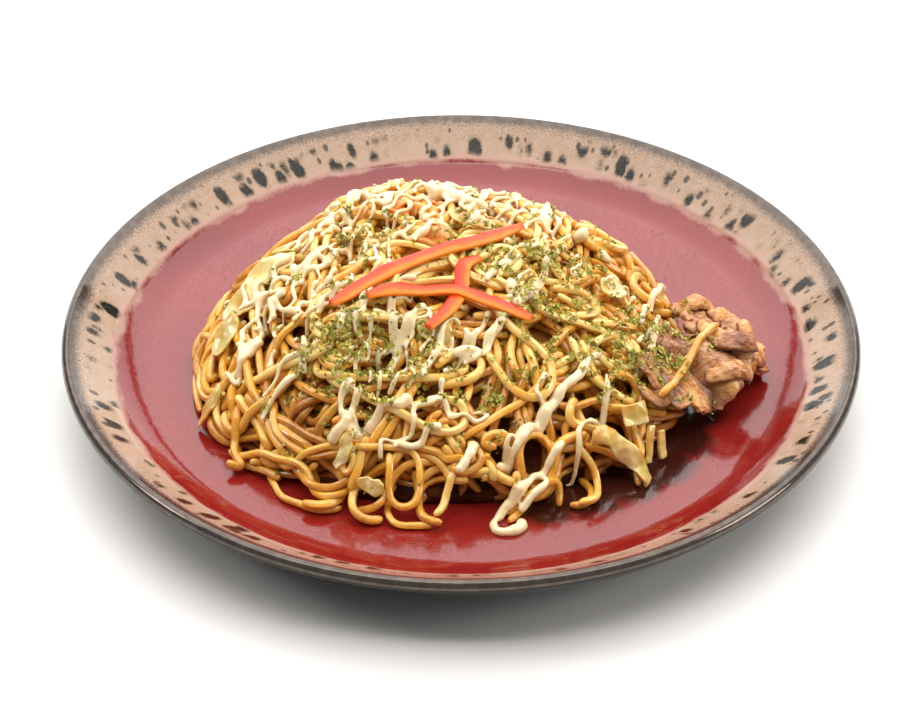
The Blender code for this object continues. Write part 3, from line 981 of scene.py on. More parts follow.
class Gaps:
    """Dark gaps that the strands leave open: ovals through the layer, longer down the slope."""

    # How strongly a gap pushes a strand out of itself in one round
    STRENGTH = 0.34

    def __init__(self, bed, rng, count):
        steep = rng.uniform(size=count) < 0.55
        share = np.where(steep, rng.uniform(0.72, 1.0, count), rng.uniform(0.05, 0.72, count))
        angle = rng.uniform(0, math.tau, count)
        reach = bed.foot[(angle / math.tau * bed.TURNS).astype(int)] * share
        spots = np.stack([np.cos(angle), np.sin(angle)], axis=1) * reach[:, None]
        size = np.where(steep, rng.uniform(1.8, 3.6, count), rng.uniform(1.0, 2.0, count))
        own = np.array([bed.spot(x, y) for x, y, _ in SHOWN_GAPS])
        spots = np.concatenate([spots, own])
        self.size = np.concatenate([size, [wide for _, _, wide in SHOWN_GAPS]])
        steep = np.concatenate([steep, np.ones(len(own), bool)])
        reach = np.linalg.norm(spots, axis=1)
        count = len(spots)
        level = bed.depth * 0.6
        self.place = bed.points(spots, np.full(count, level))
        outer = bed.points(spots, np.full(count, level + 1.0))
        lower = bed.points(spots * (1.0 + 1.0 / reach[:, None]), np.full(count, level))
        self.out = outer - self.place
        self.down = unit(lower - self.place, 0.0)
        self.aside = np.cross(self.out, self.down)
        self.length = np.where(steep, rng.uniform(1.1, 2.0, count), rng.uniform(1.0, 1.6, count))
        self.deep = np.where(steep, -7.0, -2.0)

    def push(self, points, radii):
        """Moves the strands' points out of every gap."""
        for k in range(len(self.size)):
            far = points - self.place[k]
            near = np.flatnonzero((far ** 2).sum(axis=1) < (self.size[k] * self.length[k] + 8.0) ** 2)
            far = far[near]
            down, aside = far @ self.down[k] / self.length[k], far @ self.aside[k]
            out = far @ self.out[k]
            reach = np.hypot(down, aside) + 1e-6
            push = np.maximum(self.size[k] + radii[near] - reach, 0.0) / reach * self.STRENGTH
            push = push * (out > self.deep[k])
            points[near] += (push * down)[:, None] * self.down[k] + (push * aside)[:, None] * self.aside[k]


# One round of settling: how far a strand sinks in millimetres, the share of each fault put
# right (overlap, stretch, kinks, core below, dome above), and the share of the move kept
SINK = 0.035
APART, STRETCH, STRAIGHTEN, CORE_HOLD, DOME_HOLD = 0.40, 0.45, 0.20, 0.5, 0.35
MOVE_KEPT = 0.85
# The most that others move a point at once, and how far strands stand out of the dome, less
# high up than within LOW of the plate, all in millimetres
MOST_PUSH = 0.5
LOW, LOW_PROUD, HIGH_PROUD = 4.0, 5.0, 0.6


def settle(strands, shell, gaps, depth, rounds):
    """Lets the strands sink, keep their length, push each other apart and fill the dome."""
    points = np.concatenate([strand[0] for strand in strands])
    radii = np.concatenate([np.full(len(strand[0]), strand[1]) for strand in strands])
    owner = np.concatenate([np.full(len(strand[0]), k) for k, strand in enumerate(strands)])
    rest = np.clip(np.linalg.norm(np.diff(points, axis=0), axis=1), 1.7, 2.2)
    together = owner[1:] == owner[:-1]
    inner = np.flatnonzero(together[1:] & together[:-1]) + 1
    links = np.flatnonzero(together)
    count = len(points)
    for turn in range(rounds):
        before = points.copy()
        points[:, 2] -= SINK
        if turn % 5 == 0:
            a, b = near_pairs(points, 2 * radii.max() + 0.8)
            apart = (owner[a] != owner[b]) | (np.abs(a - b) > 3)
            a, b = a[apart], b[apart]
            reach = radii[a] + radii[b]
        for _ in range(2):
            gap = points[b] - points[a]
            distance = np.sqrt((gap ** 2).sum(axis=1)) + 1e-9
            push = np.maximum(reach - distance, 0.0) / distance * APART
            points += np.clip(gathered(a, b, gap * push[:, None], count), -MOST_PUSH, MOST_PUSH)
            span = points[links + 1] - points[links]
            length = np.sqrt((span ** 2).sum(axis=1)) + 1e-9
            pull = span * ((length - rest[links]) / length * STRETCH)[:, None]
            points -= gathered(links, links + 1, pull, count)
            points[inner] += STRAIGHTEN * (0.5 * (points[inner - 1] + points[inner + 1]) - points[inner])
        if turn % 2:
            gaps.push(points, radii)
        away, out = shell.look_up(points)
        floor = plate_floor(np.hypot(points[:, 0], points[:, 1])) + radii
        low = points[:, 2] < floor + LOW
        # the core below holds a strand up, the dome above holds it down
        under = np.maximum(-depth + radii - away, 0.0) * CORE_HOLD
        over = np.maximum(away + radii - np.where(low, LOW_PROUD, HIGH_PROUD), 0.0) * DOME_HOLD
        points += out * (under - over)[:, None]
        points[:, 2] = np.maximum(points[:, 2], floor)
        moved = points - before
        points = before + moved * MOVE_KEPT
    parts, start = [], 0
    for place, radius, tone in strands:
        parts.append((unkinked(points[start:start + len(place)]), radius, tone))
        start += len(place)
    return parts


def unkinked(place):
    """Takes the small kinks out of a strand and keeps its wider bends."""
    place = place.copy()
    for _ in range(6):
        for amount in (0.55, -0.50):
            place[1:-1] += amount * (0.5 * (place[:-2] + place[2:]) - place[1:-1])
    return place


def finer(place, factor):
    """A smooth curve through a strand's points, with factor points for each."""
    count = len(place)
    if count < 4:
        return place
    padded = np.concatenate([[2 * place[0] - place[1]], place, [2 * place[-1] - place[-2]]])
    t = (np.arange(factor) / factor)[None, :, None]
    p0, p1, p2, p3 = (padded[k:k + count - 1][:, None] for k in range(4))
    curve = eased(p0, p1, p2, p3, t)
    return np.concatenate([curve.reshape(-1, place.shape[1]), place[-1:]])


# A strand's tone darkens by this much for each millimetre below a level: partly sauce that ran down, partly
# painted shade, so that the top is painted lighter and the lower strands darker
SHADE_AND_SAUCE_PER_MM, SHADE_AND_SAUCE_LEVEL = 0.010, 28.0


def tubes(name, strands, sides=10):
    """One mesh of closed, slightly squared tubes along the strands' points."""
    rng = np.random.default_rng(11)
    all_points, all_faces, tones, base = [], [], [], 0
    turns = np.arange(sides) * math.tau / sides
    for place, radius, tone in strands:
        place = finer(place, 2)
        count = len(place)
        ahead = unit(np.gradient(place, axis=0))
        side = np.cross(ahead[0], (0.3, 0.2, 0.9))
        sides_along = []
        for k in range(count):
            side = side - ahead[k] * (side @ ahead[k])
            side /= np.linalg.norm(side) + 1e-9
            sides_along.append(side)
        side = np.array(sides_along)
        up = np.cross(ahead, side)
        twist = rng.uniform(0, math.tau) + np.cumsum(rng.normal(0.0, 0.06, count))
        girth = radius * (1.0 + 0.05 * np.sin(np.arange(count) * 0.21 + rng.uniform(0, 6)))
        girth[[0, -1]] *= 0.55
        girth[[1, -2]] *= 0.90
        angle = turns[None] + twist[:, None]
        square = 1.0 + 0.045 * np.cos(4 * turns)[None]
        ring = (
            np.cos(angle)[..., None] * side[:, None] + np.sin(angle)[..., None] * up[:, None]
        ) * (girth[:, None] * square)[..., None]
        points = place[:, None] + ring
        all_points.append(points.reshape(-1, 3))
        k = np.arange(count - 1)[:, None] * sides + base
        s = np.arange(sides)[None]
        n = (np.arange(sides)[None] + 1) % sides
        quads = np.stack([k + s, k + n, k + sides + n, k + sides + s], axis=-1).reshape(-1, 4)
        all_faces += quads.tolist()
        all_faces.append([base + i for i in reversed(range(sides))])
        last = base + (count - 1) * sides
        all_faces.append([last + i for i in range(sides)])
        # painted shade and drained sauce: the tone darkens lower down
        sauced_and_shaded = tone + SHADE_AND_SAUCE_PER_MM * (SHADE_AND_SAUCE_LEVEL - place[:, 2])
        tones.append(np.repeat(sauced_and_shaded, sides))
        base += count * sides
    made = as_mesh(name, (np.concatenate(all_points) * MM).tolist(), all_faces)
    store(made.data, "tone", np.concatenate(tones).astype(np.float32))
    return made


class NOODLES_OT_noodles(bpy.types.Operator):
    """Lays the noodles strand by strand over a core and lets them settle"""
    bl_idname = "noodles.noodles"
    bl_label = "Noodles"

    def execute(self, context):
        choice = context.scene.noodle_strands
        bed = HeapBed(choice.depth)
        strands = lay_strands(bed, choice)
        shell = Shell(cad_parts["noodle_heap"])
        gaps = Gaps(bed, np.random.default_rng(choice.seed + 1), choice.gaps)
        strands = settle(strands, shell, gaps, choice.depth / MM, choice.settling)
        material = noodle_finish(choice)
        names = ("noodles_low", "noodles_middle", "noodles_top")
        share = -(-len(strands) // len(names))
        for k, name in enumerate(names):
            made = tubes(name, strands[k * share:(k + 1) * share])
            made.data.materials.append(material)
            smooth(made, CREASE)
            LAID.add(made)
            if k == 0:
                hand_over(made, "noodles", "noodle_heap")
            else:
                hand_over(made, "noodles")
        make_core(choice.depth / MM)
        return {"FINISHED"}


def make_core(depth):
    """The heap's inside, seen only between strands: saucy noodles painted dark, which stands for the shade in
    the gaps.
    """
    made = new_object("saucy_core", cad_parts["noodle_heap"].data.copy())
    made.data.name = made.name
    take_up(made)
    bpy.ops.object.mode_set(mode="EDIT")
    bpy.ops.mesh.select_all(action="SELECT")
    bpy.ops.mesh.remove_doubles(threshold=0.00001)
    bpy.ops.object.mode_set(mode="OBJECT")
    mesh = made.data
    low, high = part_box("noodle_heap")
    middle = (low + high) / 2
    points = np.array([point.co for point in mesh.vertices]) / MM
    place = points[:, :2] - np.array(middle)[:2] / MM
    reach = np.hypot(*place.T)
    shrink = (reach.max() - depth - 1.0) / reach.max()
    floor = low.z / MM
    # low down it spreads out into a dark film just inside the noodles' foot, a sheet of painted shade under
    # the arching strands
    shade_film = np.exp(-np.maximum(points[:, 2:] - floor, 0.0) / 2.5)
    shrink = shrink + (1.0 - 6.0 / reach.max() - shrink) * shade_film
    points[:, :2] = np.array(middle)[:2] / MM + place * shrink
    drop = 1.0 - (depth + 1.5) / (high.z / MM - floor)
    points[:, 2] = floor + 0.6 + (points[:, 2] - floor) * drop
    mesh.vertices.foreach_set("co", (points * MM).ravel())
    mesh.update()
    mesh.materials.clear()
    mesh.materials.append(sauce_and_shade_finish())
    smooth(made)
    hand_over(made, "sauce")


# ---- what lies on the noodles

class Laid:
    """Everything laid so far, and a leaning frame in which the next piece is laid.

    A piece's own u runs level across the frame and v up its slope, in millimetres, and
    heights are measured out of it.
    """

    # Height that support gives where nothing lies below, in millimetres
    NOTHING = -4.0

    def __init__(self):
        self.trees = []
        self.lean_to()

    def add(self, thing):
        self.trees.append(BVHTree.FromObject(thing, bpy.context.evaluated_depsgraph_get()))

    def lean_to(self, middle=(0.0, 0.0, 0.0), facing=-90.0, lean=0.0):
        """Moves the frame to a place in millimetres, facing and leaning by degrees."""
        azimuth, slope = math.radians(facing), math.radians(lean)
        level = Vector((math.cos(azimuth), math.sin(azimuth), 0.0))
        self.middle = Vector(middle) * MM
        self.out = level * math.sin(slope) + Vector((0.0, 0.0, math.cos(slope)))
        self.across = Vector((-level.y, level.x, 0.0))
        self.upward = self.out.cross(self.across)

    def place(self, u, v, height):
        """The point at (u, v) and a height, all in millimetres."""
        return self.middle + (self.across * u + self.upward * v + self.out * height) * MM

    def support(self, u, v):
        """Height of the highest thing at one spot, in millimetres out of the frame."""
        start = self.place(u, v, ABOVE_ALL)
        best = self.NOTHING
        for tree in self.trees:
            distance = tree.ray_cast(start, -self.out)[3]
            if distance is not None:
                best = max(best, ABOVE_ALL - distance / MM)
        return best


def curve_through(points, share):
    """A smooth curve through points, read at a share of its length from 0 to 1."""
    spans = len(points) - 1
    reach = min(max(share, 0.0), 1.0) * spans
    k = min(int(reach), spans - 1)
    t = reach - k
    p1, p2 = Vector(points[k]), Vector(points[k + 1])
    p0 = Vector(points[k - 1]) if k else 2 * p1 - p2
    p3 = Vector(points[k + 2]) if k + 2 <= spans else 2 * p2 - p1
    return eased(p0, p1, p2, p3, t)


def outline_radius(radii, angle):
    """A smooth outline through radii spread evenly round a middle."""
    turn = (angle / math.tau % 1.0) * len(radii)
    k = int(turn)
    t = turn - k
    p0, p1, p2, p3 = (radii[(k + step) % len(radii)] for step in (-1, 0, 1, 2))
    return eased(p0, p1, p2, p3, t)


# A slice sags no deeper than this below its middle height, and stays this clear of the plate
MOST_SAG, CLEAR_OF_PLATE = 6.0, 0.3


def sheet(name, columns, rows, plan, laid, *, thickness, limpness, lift, crown=None, relief=None):
    """A limp slice: a grid laid over the bed by plan, thickened, rounded and given relief.

    plan turns the grid's (-1..1, -1..1) into (u, v); crown adds height by grid place; relief
    moves the finished surface along its normals, by place in millimetres.
    """
    deselect()
    bpy.ops.mesh.primitive_grid_add(x_subdivisions=columns, y_subdivisions=rows, size=2.0)
    made = bpy.context.object
    made.name = made.data.name = name + "_cut"
    mesh = made.data
    blanks = [(point.co.x, point.co.y) for point in mesh.vertices]
    spots = [plan(*blank) for blank in blanks]
    heights = np.array([laid.support(*spot) for spot in spots])
    heights = np.maximum(heights, np.median(heights) - MOST_SAG)
    ends = np.array([edge.vertices[:] for edge in mesh.edges])
    count = np.bincount(ends.ravel(), minlength=len(spots))
    for _ in range(limpness):
        total = np.bincount(ends[:, 0], heights[ends[:, 1]], len(spots))
        total += np.bincount(ends[:, 1], heights[ends[:, 0]], len(spots))
        heights = np.maximum(heights, total / count)
    rises = [crown(*blank) if crown else 0.0 for blank in blanks]
    # The rise is stored too: the pork paints shade where it is low
    store(mesh, "rise", rises)
    for point, spot, height, rise in zip(mesh.vertices, spots, heights, rises):
        point.co = laid.place(*spot, height + lift + rise)
        glaze = plate_floor(math.hypot(point.co.x, point.co.y) / MM)
        point.co.z = max(point.co.z, (glaze + CLEAR_OF_PLATE) * MM)
    mesh.update()
    outward = sum((face.normal * face.area for face in mesh.polygons), Vector())
    if outward.dot(laid.out) < 0:
        mesh.flip_normals()
    solid = made.modifiers.new("thickness", "SOLIDIFY")
    solid.thickness = thickness * MM
    solid.offset = 1.0
    rounded = made.modifiers.new("rounded", "SUBSURF")
    rounded.levels = rounded.render_levels = 1
    take_up(made)
    bpy.ops.object.modifier_apply(modifier="thickness")
    bpy.ops.object.modifier_apply(modifier="rounded")
    if relief:
        outward = [point.normal.copy() for point in mesh.vertices]
        for point, normal in zip(mesh.vertices, outward):
            point.co += normal * relief(point.co / MM) * MM
    smooth(made)
    laid.add(made)
    return made


def strip_plan(route, width, taper=0.45, wave=0.0, closing=1.0):
    """Lays a grid's length along a route and its breadth across it.

    Its ends narrow to the taper's share of the width, over closing widths.
    """
    length = sum((Vector(b) - Vector(a)).length for a, b in zip(route, route[1:]))

    def plan(x, y):
        share = 0.5 + 0.5 * x
        middle = curve_through(route, share)
        ahead = curve_through(route, share + 0.01) - curve_through(route, share - 0.01)
        aside = Vector((-ahead.y, ahead.x)).normalized()
        closed = min(min(share, 1.0 - share) * length / (closing * width), 1.0)
        full = taper + (1.0 - taper) * math.sin(0.5 * math.pi * closed)
        edge = 1.0 + wave * math.sin(9.0 * share + 2.0 * y)
        spot = middle.xy + aside * y * 0.5 * width * full * edge
        return spot.x, spot.y

    return plan


def slice_plan(middle, radii, turn=0.0, ragged=0.0, seed=0.0):
    """Lays a square grid as a round slice with the given outline."""

    def plan(x, y):
        u, v = x * math.sqrt(1.0 - 0.5 * y * y), y * math.sqrt(1.0 - 0.5 * x * x)
        share, angle = math.hypot(u, v), math.atan2(v, u)
        rough = ragged * noise.noise(Vector((3 * math.cos(angle), 3 * math.sin(angle), seed)))
        rough += 0.6 * ragged * noise.noise(Vector((8 * math.cos(angle), 8 * math.sin(angle), seed)))
        reach = share * outline_radius(radii, angle) * (1.0 + rough * share)
        heading = angle + math.radians(turn)
        return middle[0] + reach * math.cos(heading), middle[1] + reach * math.sin(heading)

    return plan


def ripple(size, pitch):
    """Relief of soft lumps: their height, and how many to a millimetre."""
    return lambda place: size * noise.noise(place * pitch)


def paint(piece, layer, value):
    """Stores a number on each point of a piece, worked out from its place in millimetres."""
    store(piece.data, layer, [value(point.co / MM) for point in piece.data.vertices])


# The moist look that pepper and pork share
MOIST = {"Specular_IOR_Level": 0.25, "Subsurface_Weight": 0.35}


def pepper_finish():
    made = Finish("red_pepper")
    place = made.object_place()
    skin = made.attribute("skin")
    cloud = made.times(made.minus(made.noise(place, 220, 3), 0.5), 0.5)
    made.colour(made.ramp(made.plus(skin, cloud), [
        (0.10, (0.90, 0.24, 0.010, 1.0)), (0.40, (0.80, 0.095, 0.008, 1.0)),
        (0.85, (0.64, 0.030, 0.005, 1.0))]))
    made.set(
        Roughness=0.34, Subsurface_Scale=0.0015, Subsurface_Radius=(1.0, 0.25, 0.05),
        Coat_Weight=0.22, Coat_Roughness=0.06, **MOIST)
    made.bump(made.noise(place, 600, 3), 0.15, 0.0004)
    return made.material


class NOODLES_OT_pepper(bpy.types.Operator):
    """Three strips of red pepper across the top"""
    bl_idname = "noodles.pepper"
    bl_label = "Pepper strips"

    def execute(self, context):
        red = pepper_finish()
        LAID.lean_to()
        strips = (
            ("pepper_strip_long", [(-40, -33), (-29, -24), (-12, -10), (5, 0), (20, 11)], 4.7),
            ("pepper_strip_hooked", [(-10, -41), (-3, -31), (0, -21), (1, -12), (6, -7)], 4.3),
            ("pepper_strip_curved", [(-29, -31), (-17, -26), (-5, -23), (9, -28), (22, -35)], 4.1))
        for name, route, width in strips:
            made = sheet(
                name, 46, 8, strip_plan(route, width, 0.16, closing=2.6), LAID, thickness=1.5,
                limpness=120, lift=-0.7, crown=lambda x, y: 0.5 * (1.0 - y * y),
                relief=ripple(0.08, 0.5))
            made.data.materials.append(red)
            paint(made, "skin", lambda p, r=route, w=width: side_share(p, r, w))
            hand_over(made, "pepper", name)
        return {"FINISHED"}


def side_share(place, route, width):
    """How far a place lies to the far side of a strip, from 0 at its near edge to 1."""
    best = min(
        ((place.xy - curve_through(route, k / 40.0).xy).length_squared, k / 40.0) for k in range(41))
    share = best[1]
    ahead = curve_through(route, share + 0.01) - curve_through(route, share - 0.01)
    aside = Vector((-ahead.y, ahead.x)).normalized()
    if aside.y < 0:
        aside = -aside
    return 0.5 + (place.xy - curve_through(route, share).xy).dot(aside) / width


def pork_finish():
    made = Finish("fried_pork")
    place = made.object_place()
    fat = made.attribute("fat")
    grain = made.node("ShaderNodeMapping", Vector=place)
    grain.inputs["Scale"].default_value = (0.8, 2.6, 1.6)
    grain.inputs["Rotation"].default_value = (0.3, 0.2, 0.9)
    fibre = made.noise(grain.outputs[0], 520, 4, 0.6)
    patch = made.noise(place, 80, 3)
    mixed = made.plus(made.times(fibre, 0.45), made.times(patch, 0.55))
    lean = made.ramp(mixed, [
        (0.40, (0.24, 0.062, 0.018, 1.0)), (0.48, (0.52, 0.205, 0.078, 1.0)),
        (0.57, (0.74, 0.41, 0.20, 1.0))])
    rich = made.ramp(mixed, [
        (0.40, (0.36, 0.100, 0.014, 1.0)), (0.48, (0.62, 0.250, 0.050, 1.0)),
        (0.57, (0.82, 0.44, 0.13, 1.0))])
    # Painted shade: dark brown where the rise is low, in the troughs and creases between folds and along the
    # folds' edges
    crease_shade = made.span(made.attribute("rise"), 0.0, 1.4)
    made.colour(made.mix(crease_shade, (0.10, 0.018, 0.004, 1.0), made.mix(fat, lean, rich)))
    made.set(
        Roughness=0.34, Subsurface_Scale=0.0018, Subsurface_Radius=(1.0, 0.40, 0.12),
        Coat_Weight=0.6, Coat_Roughness=0.06, **MOIST)
    made.bump(fibre, 0.6, 0.0006)
    return made.material


def meat_relief(place, lumps, seed):
    """Fibres and soft lumps of cut meat, in millimetres."""
    shifted = place + Vector((seed, 2 * seed, 0))
    turned = Vector((0.62 * shifted.x - 0.78 * shifted.y, 0.78 * shifted.x + 0.62 * shifted.y, shifted.z))
    fibres = noise.noise(Vector((turned.x * 0.12, turned.y * 0.60, turned.z * 0.4)))
    fine = noise.noise(Vector((turned.x * 0.5, turned.y * 1.9, turned.z * 1.2)))
    return 0.45 * fibres + 0.14 * fine + lumps * noise.noise(shifted * 0.16)


# Folds along the slices, each with its route, width, height and share of fat
REAR_FOLDS = (
    (((5, 15), (5.5, 11.6), (6.3, 6.2), (7.1, 0.7)), 6.0, 2.2, 0.6),
    (((3, 2.6), (0.9, 2.3), (-3.5, 1.1)), 5.5, 1.8, 0.7),
    (((-2, 0), (-6.3, -2.2), (-13, 0.4)), 8.0, 2.2, 0.3),
    (((-3, -6.5), (-6.1, -6), (-12.5, -6.2), (-19.2, -6), (-23, -4)), 5.5, 2.6, 0.8),
    (((-6, 10), (-10, 8.3), (-13.4, 6.4), (-19, 4.6), (-24, 4)), 6.5, 2.8, 1.2),
    (((-32, 9.5), (-32.2, 5.2), (-28.7, 0.5)), 6.5, 2.2, 0.8),
    (((-22, 17), (-22.6, 13), (-24.1, 9.1), (-26.2, 5.4), (-25.8, 1), (-22.2, -3.9)), 8.5, 3.4, 1.1),
)
FRONT_FOLDS = (
    (((13, 13), (11.6, 11.9), (8.9, 8), (6.8, 4.6)), 3.6, 0.9, 1.0),
    (((3.5, 1), (2.6, -1), (2.2, -5), (4.3, -9.6)), 6.0, 1.4, 0.4),
    (((-9, -1), (-7.6, -4.5), (-5.4, -8.6), (-3.3, -13.1)), 5.0, 2.0, 0.2),
    (((-25, 19), (-26.2, 14.9), (-25.9, 11.9), (-24, 9)), 4.5, 1.2, 0.4),
)


def add_folds(slice_made, name, folds, seed):
    """Lays rounded folds of meat on a slice and joins them to it."""
    parts = [slice_made]
    for route, width, height, fat in folds:
        fold = sheet(
            "%s_fold_%d" % (name, len(parts)), 30, 10, strip_plan(route, width, 0.5, 0.12, 0.9), LAID,
            thickness=1.4, limpness=12, lift=-0.4,
            crown=lambda x, y, h=height: h * math.sqrt(max((1 - y * y) * (1 - x ** 4), 0.0)),
            relief=lambda p: meat_relief(p, 0.7, seed))
        paint(fold, "fat", lambda p, f=fat: min(max(f + 0.5 * noise.noise(p * 0.15), 0.0), 1.0))
        parts.append(fold)
    joined(parts)


class NOODLES_OT_pork(bpy.types.Operator):
    """Two slices of fried pork against the heap's right side"""
    bl_idname = "noodles.pork"
    bl_label = "Pork"

    def execute(self, context):
        brown = pork_finish()
        LAID.lean_to((86, 4, 19), facing=10, lean=25)
        rear = sheet(
            "pork_slice_rear", 60, 60,
            slice_plan((-3, -1), (12, 14, 15, 16, 22, 17, 11, 12), ragged=0.20, seed=5.0), LAID,
            thickness=2.6, limpness=40, lift=0.0,
            crown=lambda x, y: 2.2 * abs(math.sin(3.3 * (x - y) + 1.0 + 0.6 * math.sin(3 * y))) ** 0.8,
            relief=lambda p: meat_relief(p, 0.9, 5.0))
        paint(rear, "fat", lambda p: min(max(1.4 * noise.noise(p * 0.10) + 0.30, 0.0), 1.0))
        add_folds(rear, "pork_slice_rear", REAR_FOLDS, 5.0)
        LAID.lean_to((77, -22, 21), facing=-10, lean=35)
        front = sheet(
            "pork_slice_front", 64, 64,
            slice_plan((-5, 2), (12, 16, 16, 23, 18, 14, 14, 14), ragged=0.20, seed=9.0), LAID,
            thickness=2.2, limpness=40, lift=0.0,
            crown=lambda x, y: 1.9 * abs(math.sin(2.6 * (x - y) + 0.5 * math.sin(4 * x))) ** 0.7,
            relief=lambda p: meat_relief(p, 0.5, 9.0))
        paint(front, "fat", lambda p: min(max(1.4 * noise.noise(p * 0.11), 0.0), 1.0))
        add_folds(front, "pork_slice_front", FRONT_FOLDS, 9.0)
        for piece, name in ((rear, "pork_slice_rear"), (front, "pork_slice_front")):
            piece.data.materials.append(brown)
            hand_over(piece, "pork", name)
        LAID.lean_to()
        radius, tone = 1.3, 0.50
        way = even_steps(np.array(STRAND_OVER_PORK, float))
        heights = np.array([LAID.support(*spot) for spot in way]) + radius
        for _ in range(60):
            heights[1:-1] = np.maximum(heights[1:-1], 0.5 * (heights[:-2] + heights[2:]))
        over = tubes("noodle_over_pork", [(np.column_stack([way, heights])[::2], radius, tone)])
        over.data.materials.append(bpy.data.materials["fried_noodle"])
        smooth(over, CREASE)
        LAID.add(over)
        hand_over(over, "noodles")
        return {"FINISHED"}


def cabbage_finish():
    made = Finish("cooked_cabbage")
    place = made.object_place()
    patch = made.noise(place, 160, 3)
    vein = made.node("ShaderNodeTexVoronoi", {"feature": "DISTANCE_TO_EDGE"}, Vector=place, Scale=300.0)
    pale = made.ramp(patch, [
        (0.32, (0.62, 0.52, 0.11, 1.0)), (0.48, (0.82, 0.62, 0.22, 1.0)), (0.66, (0.92, 0.78, 0.46, 1.0))])
    darker_patch = made.ramp(made.noise(place, 90, 2), [(0.42, (1, 1, 1, 1)), (0.66, (0.84, 0.56, 0.24, 1.0))])
    made.colour(made.mix(1.0, pale, darker_patch, "MULTIPLY"))
    made.set(
        Roughness=0.25, Subsurface_Weight=0.6, Subsurface_Scale=0.0025,
        Subsurface_Radius=(1.0, 0.7, 0.2), Coat_Weight=0.7, Coat_Roughness=0.06)
    made.bump(vein.outputs["Distance"], 0.35, 0.0006)
    return made.material


def carrot_finish():
    made = Finish("cooked_carrot")
    place = made.object_place()
    made.colour(made.ramp(made.noise(place, 260, 3), [
        (0.35, (0.80, 0.25, 0.035, 1.0)), (0.65, (0.90, 0.42, 0.11, 1.0))]))
    made.set(
        Roughness=0.3, Subsurface_Weight=0.4, Subsurface_Scale=0.002,
        Subsurface_Radius=(1.0, 0.4, 0.1), Coat_Weight=0.4, Coat_Roughness=0.12)
    made.bump(made.noise(place, 700, 3), 0.2, 0.0004)
    return made.material


# Small soft bits among the noodles: x, y, radius in millimetres, and turn in degrees
CABBAGE_SHREDS = (
    (-62, 2, 8.0, 40), (-70, -9, 7.0, 60), (-55, 12, 6.5, 20), (-75, -20, 5.0, 80), (2, 17, 5.5, 0),
    (7, 11, 4.0, 30), (-8, -38, 5.0, 10), (-79, -40, 4.0, 60))
CARROT_BITS = (
    (-21, 26, 2.6, 0), (-19, 11, 2.4, 30), (-8, 28, 2.2, 10), (27, 15, 2.0, 0), (-15, 23, 2.0, 50),
    (-33, 22, 2.0, 20))


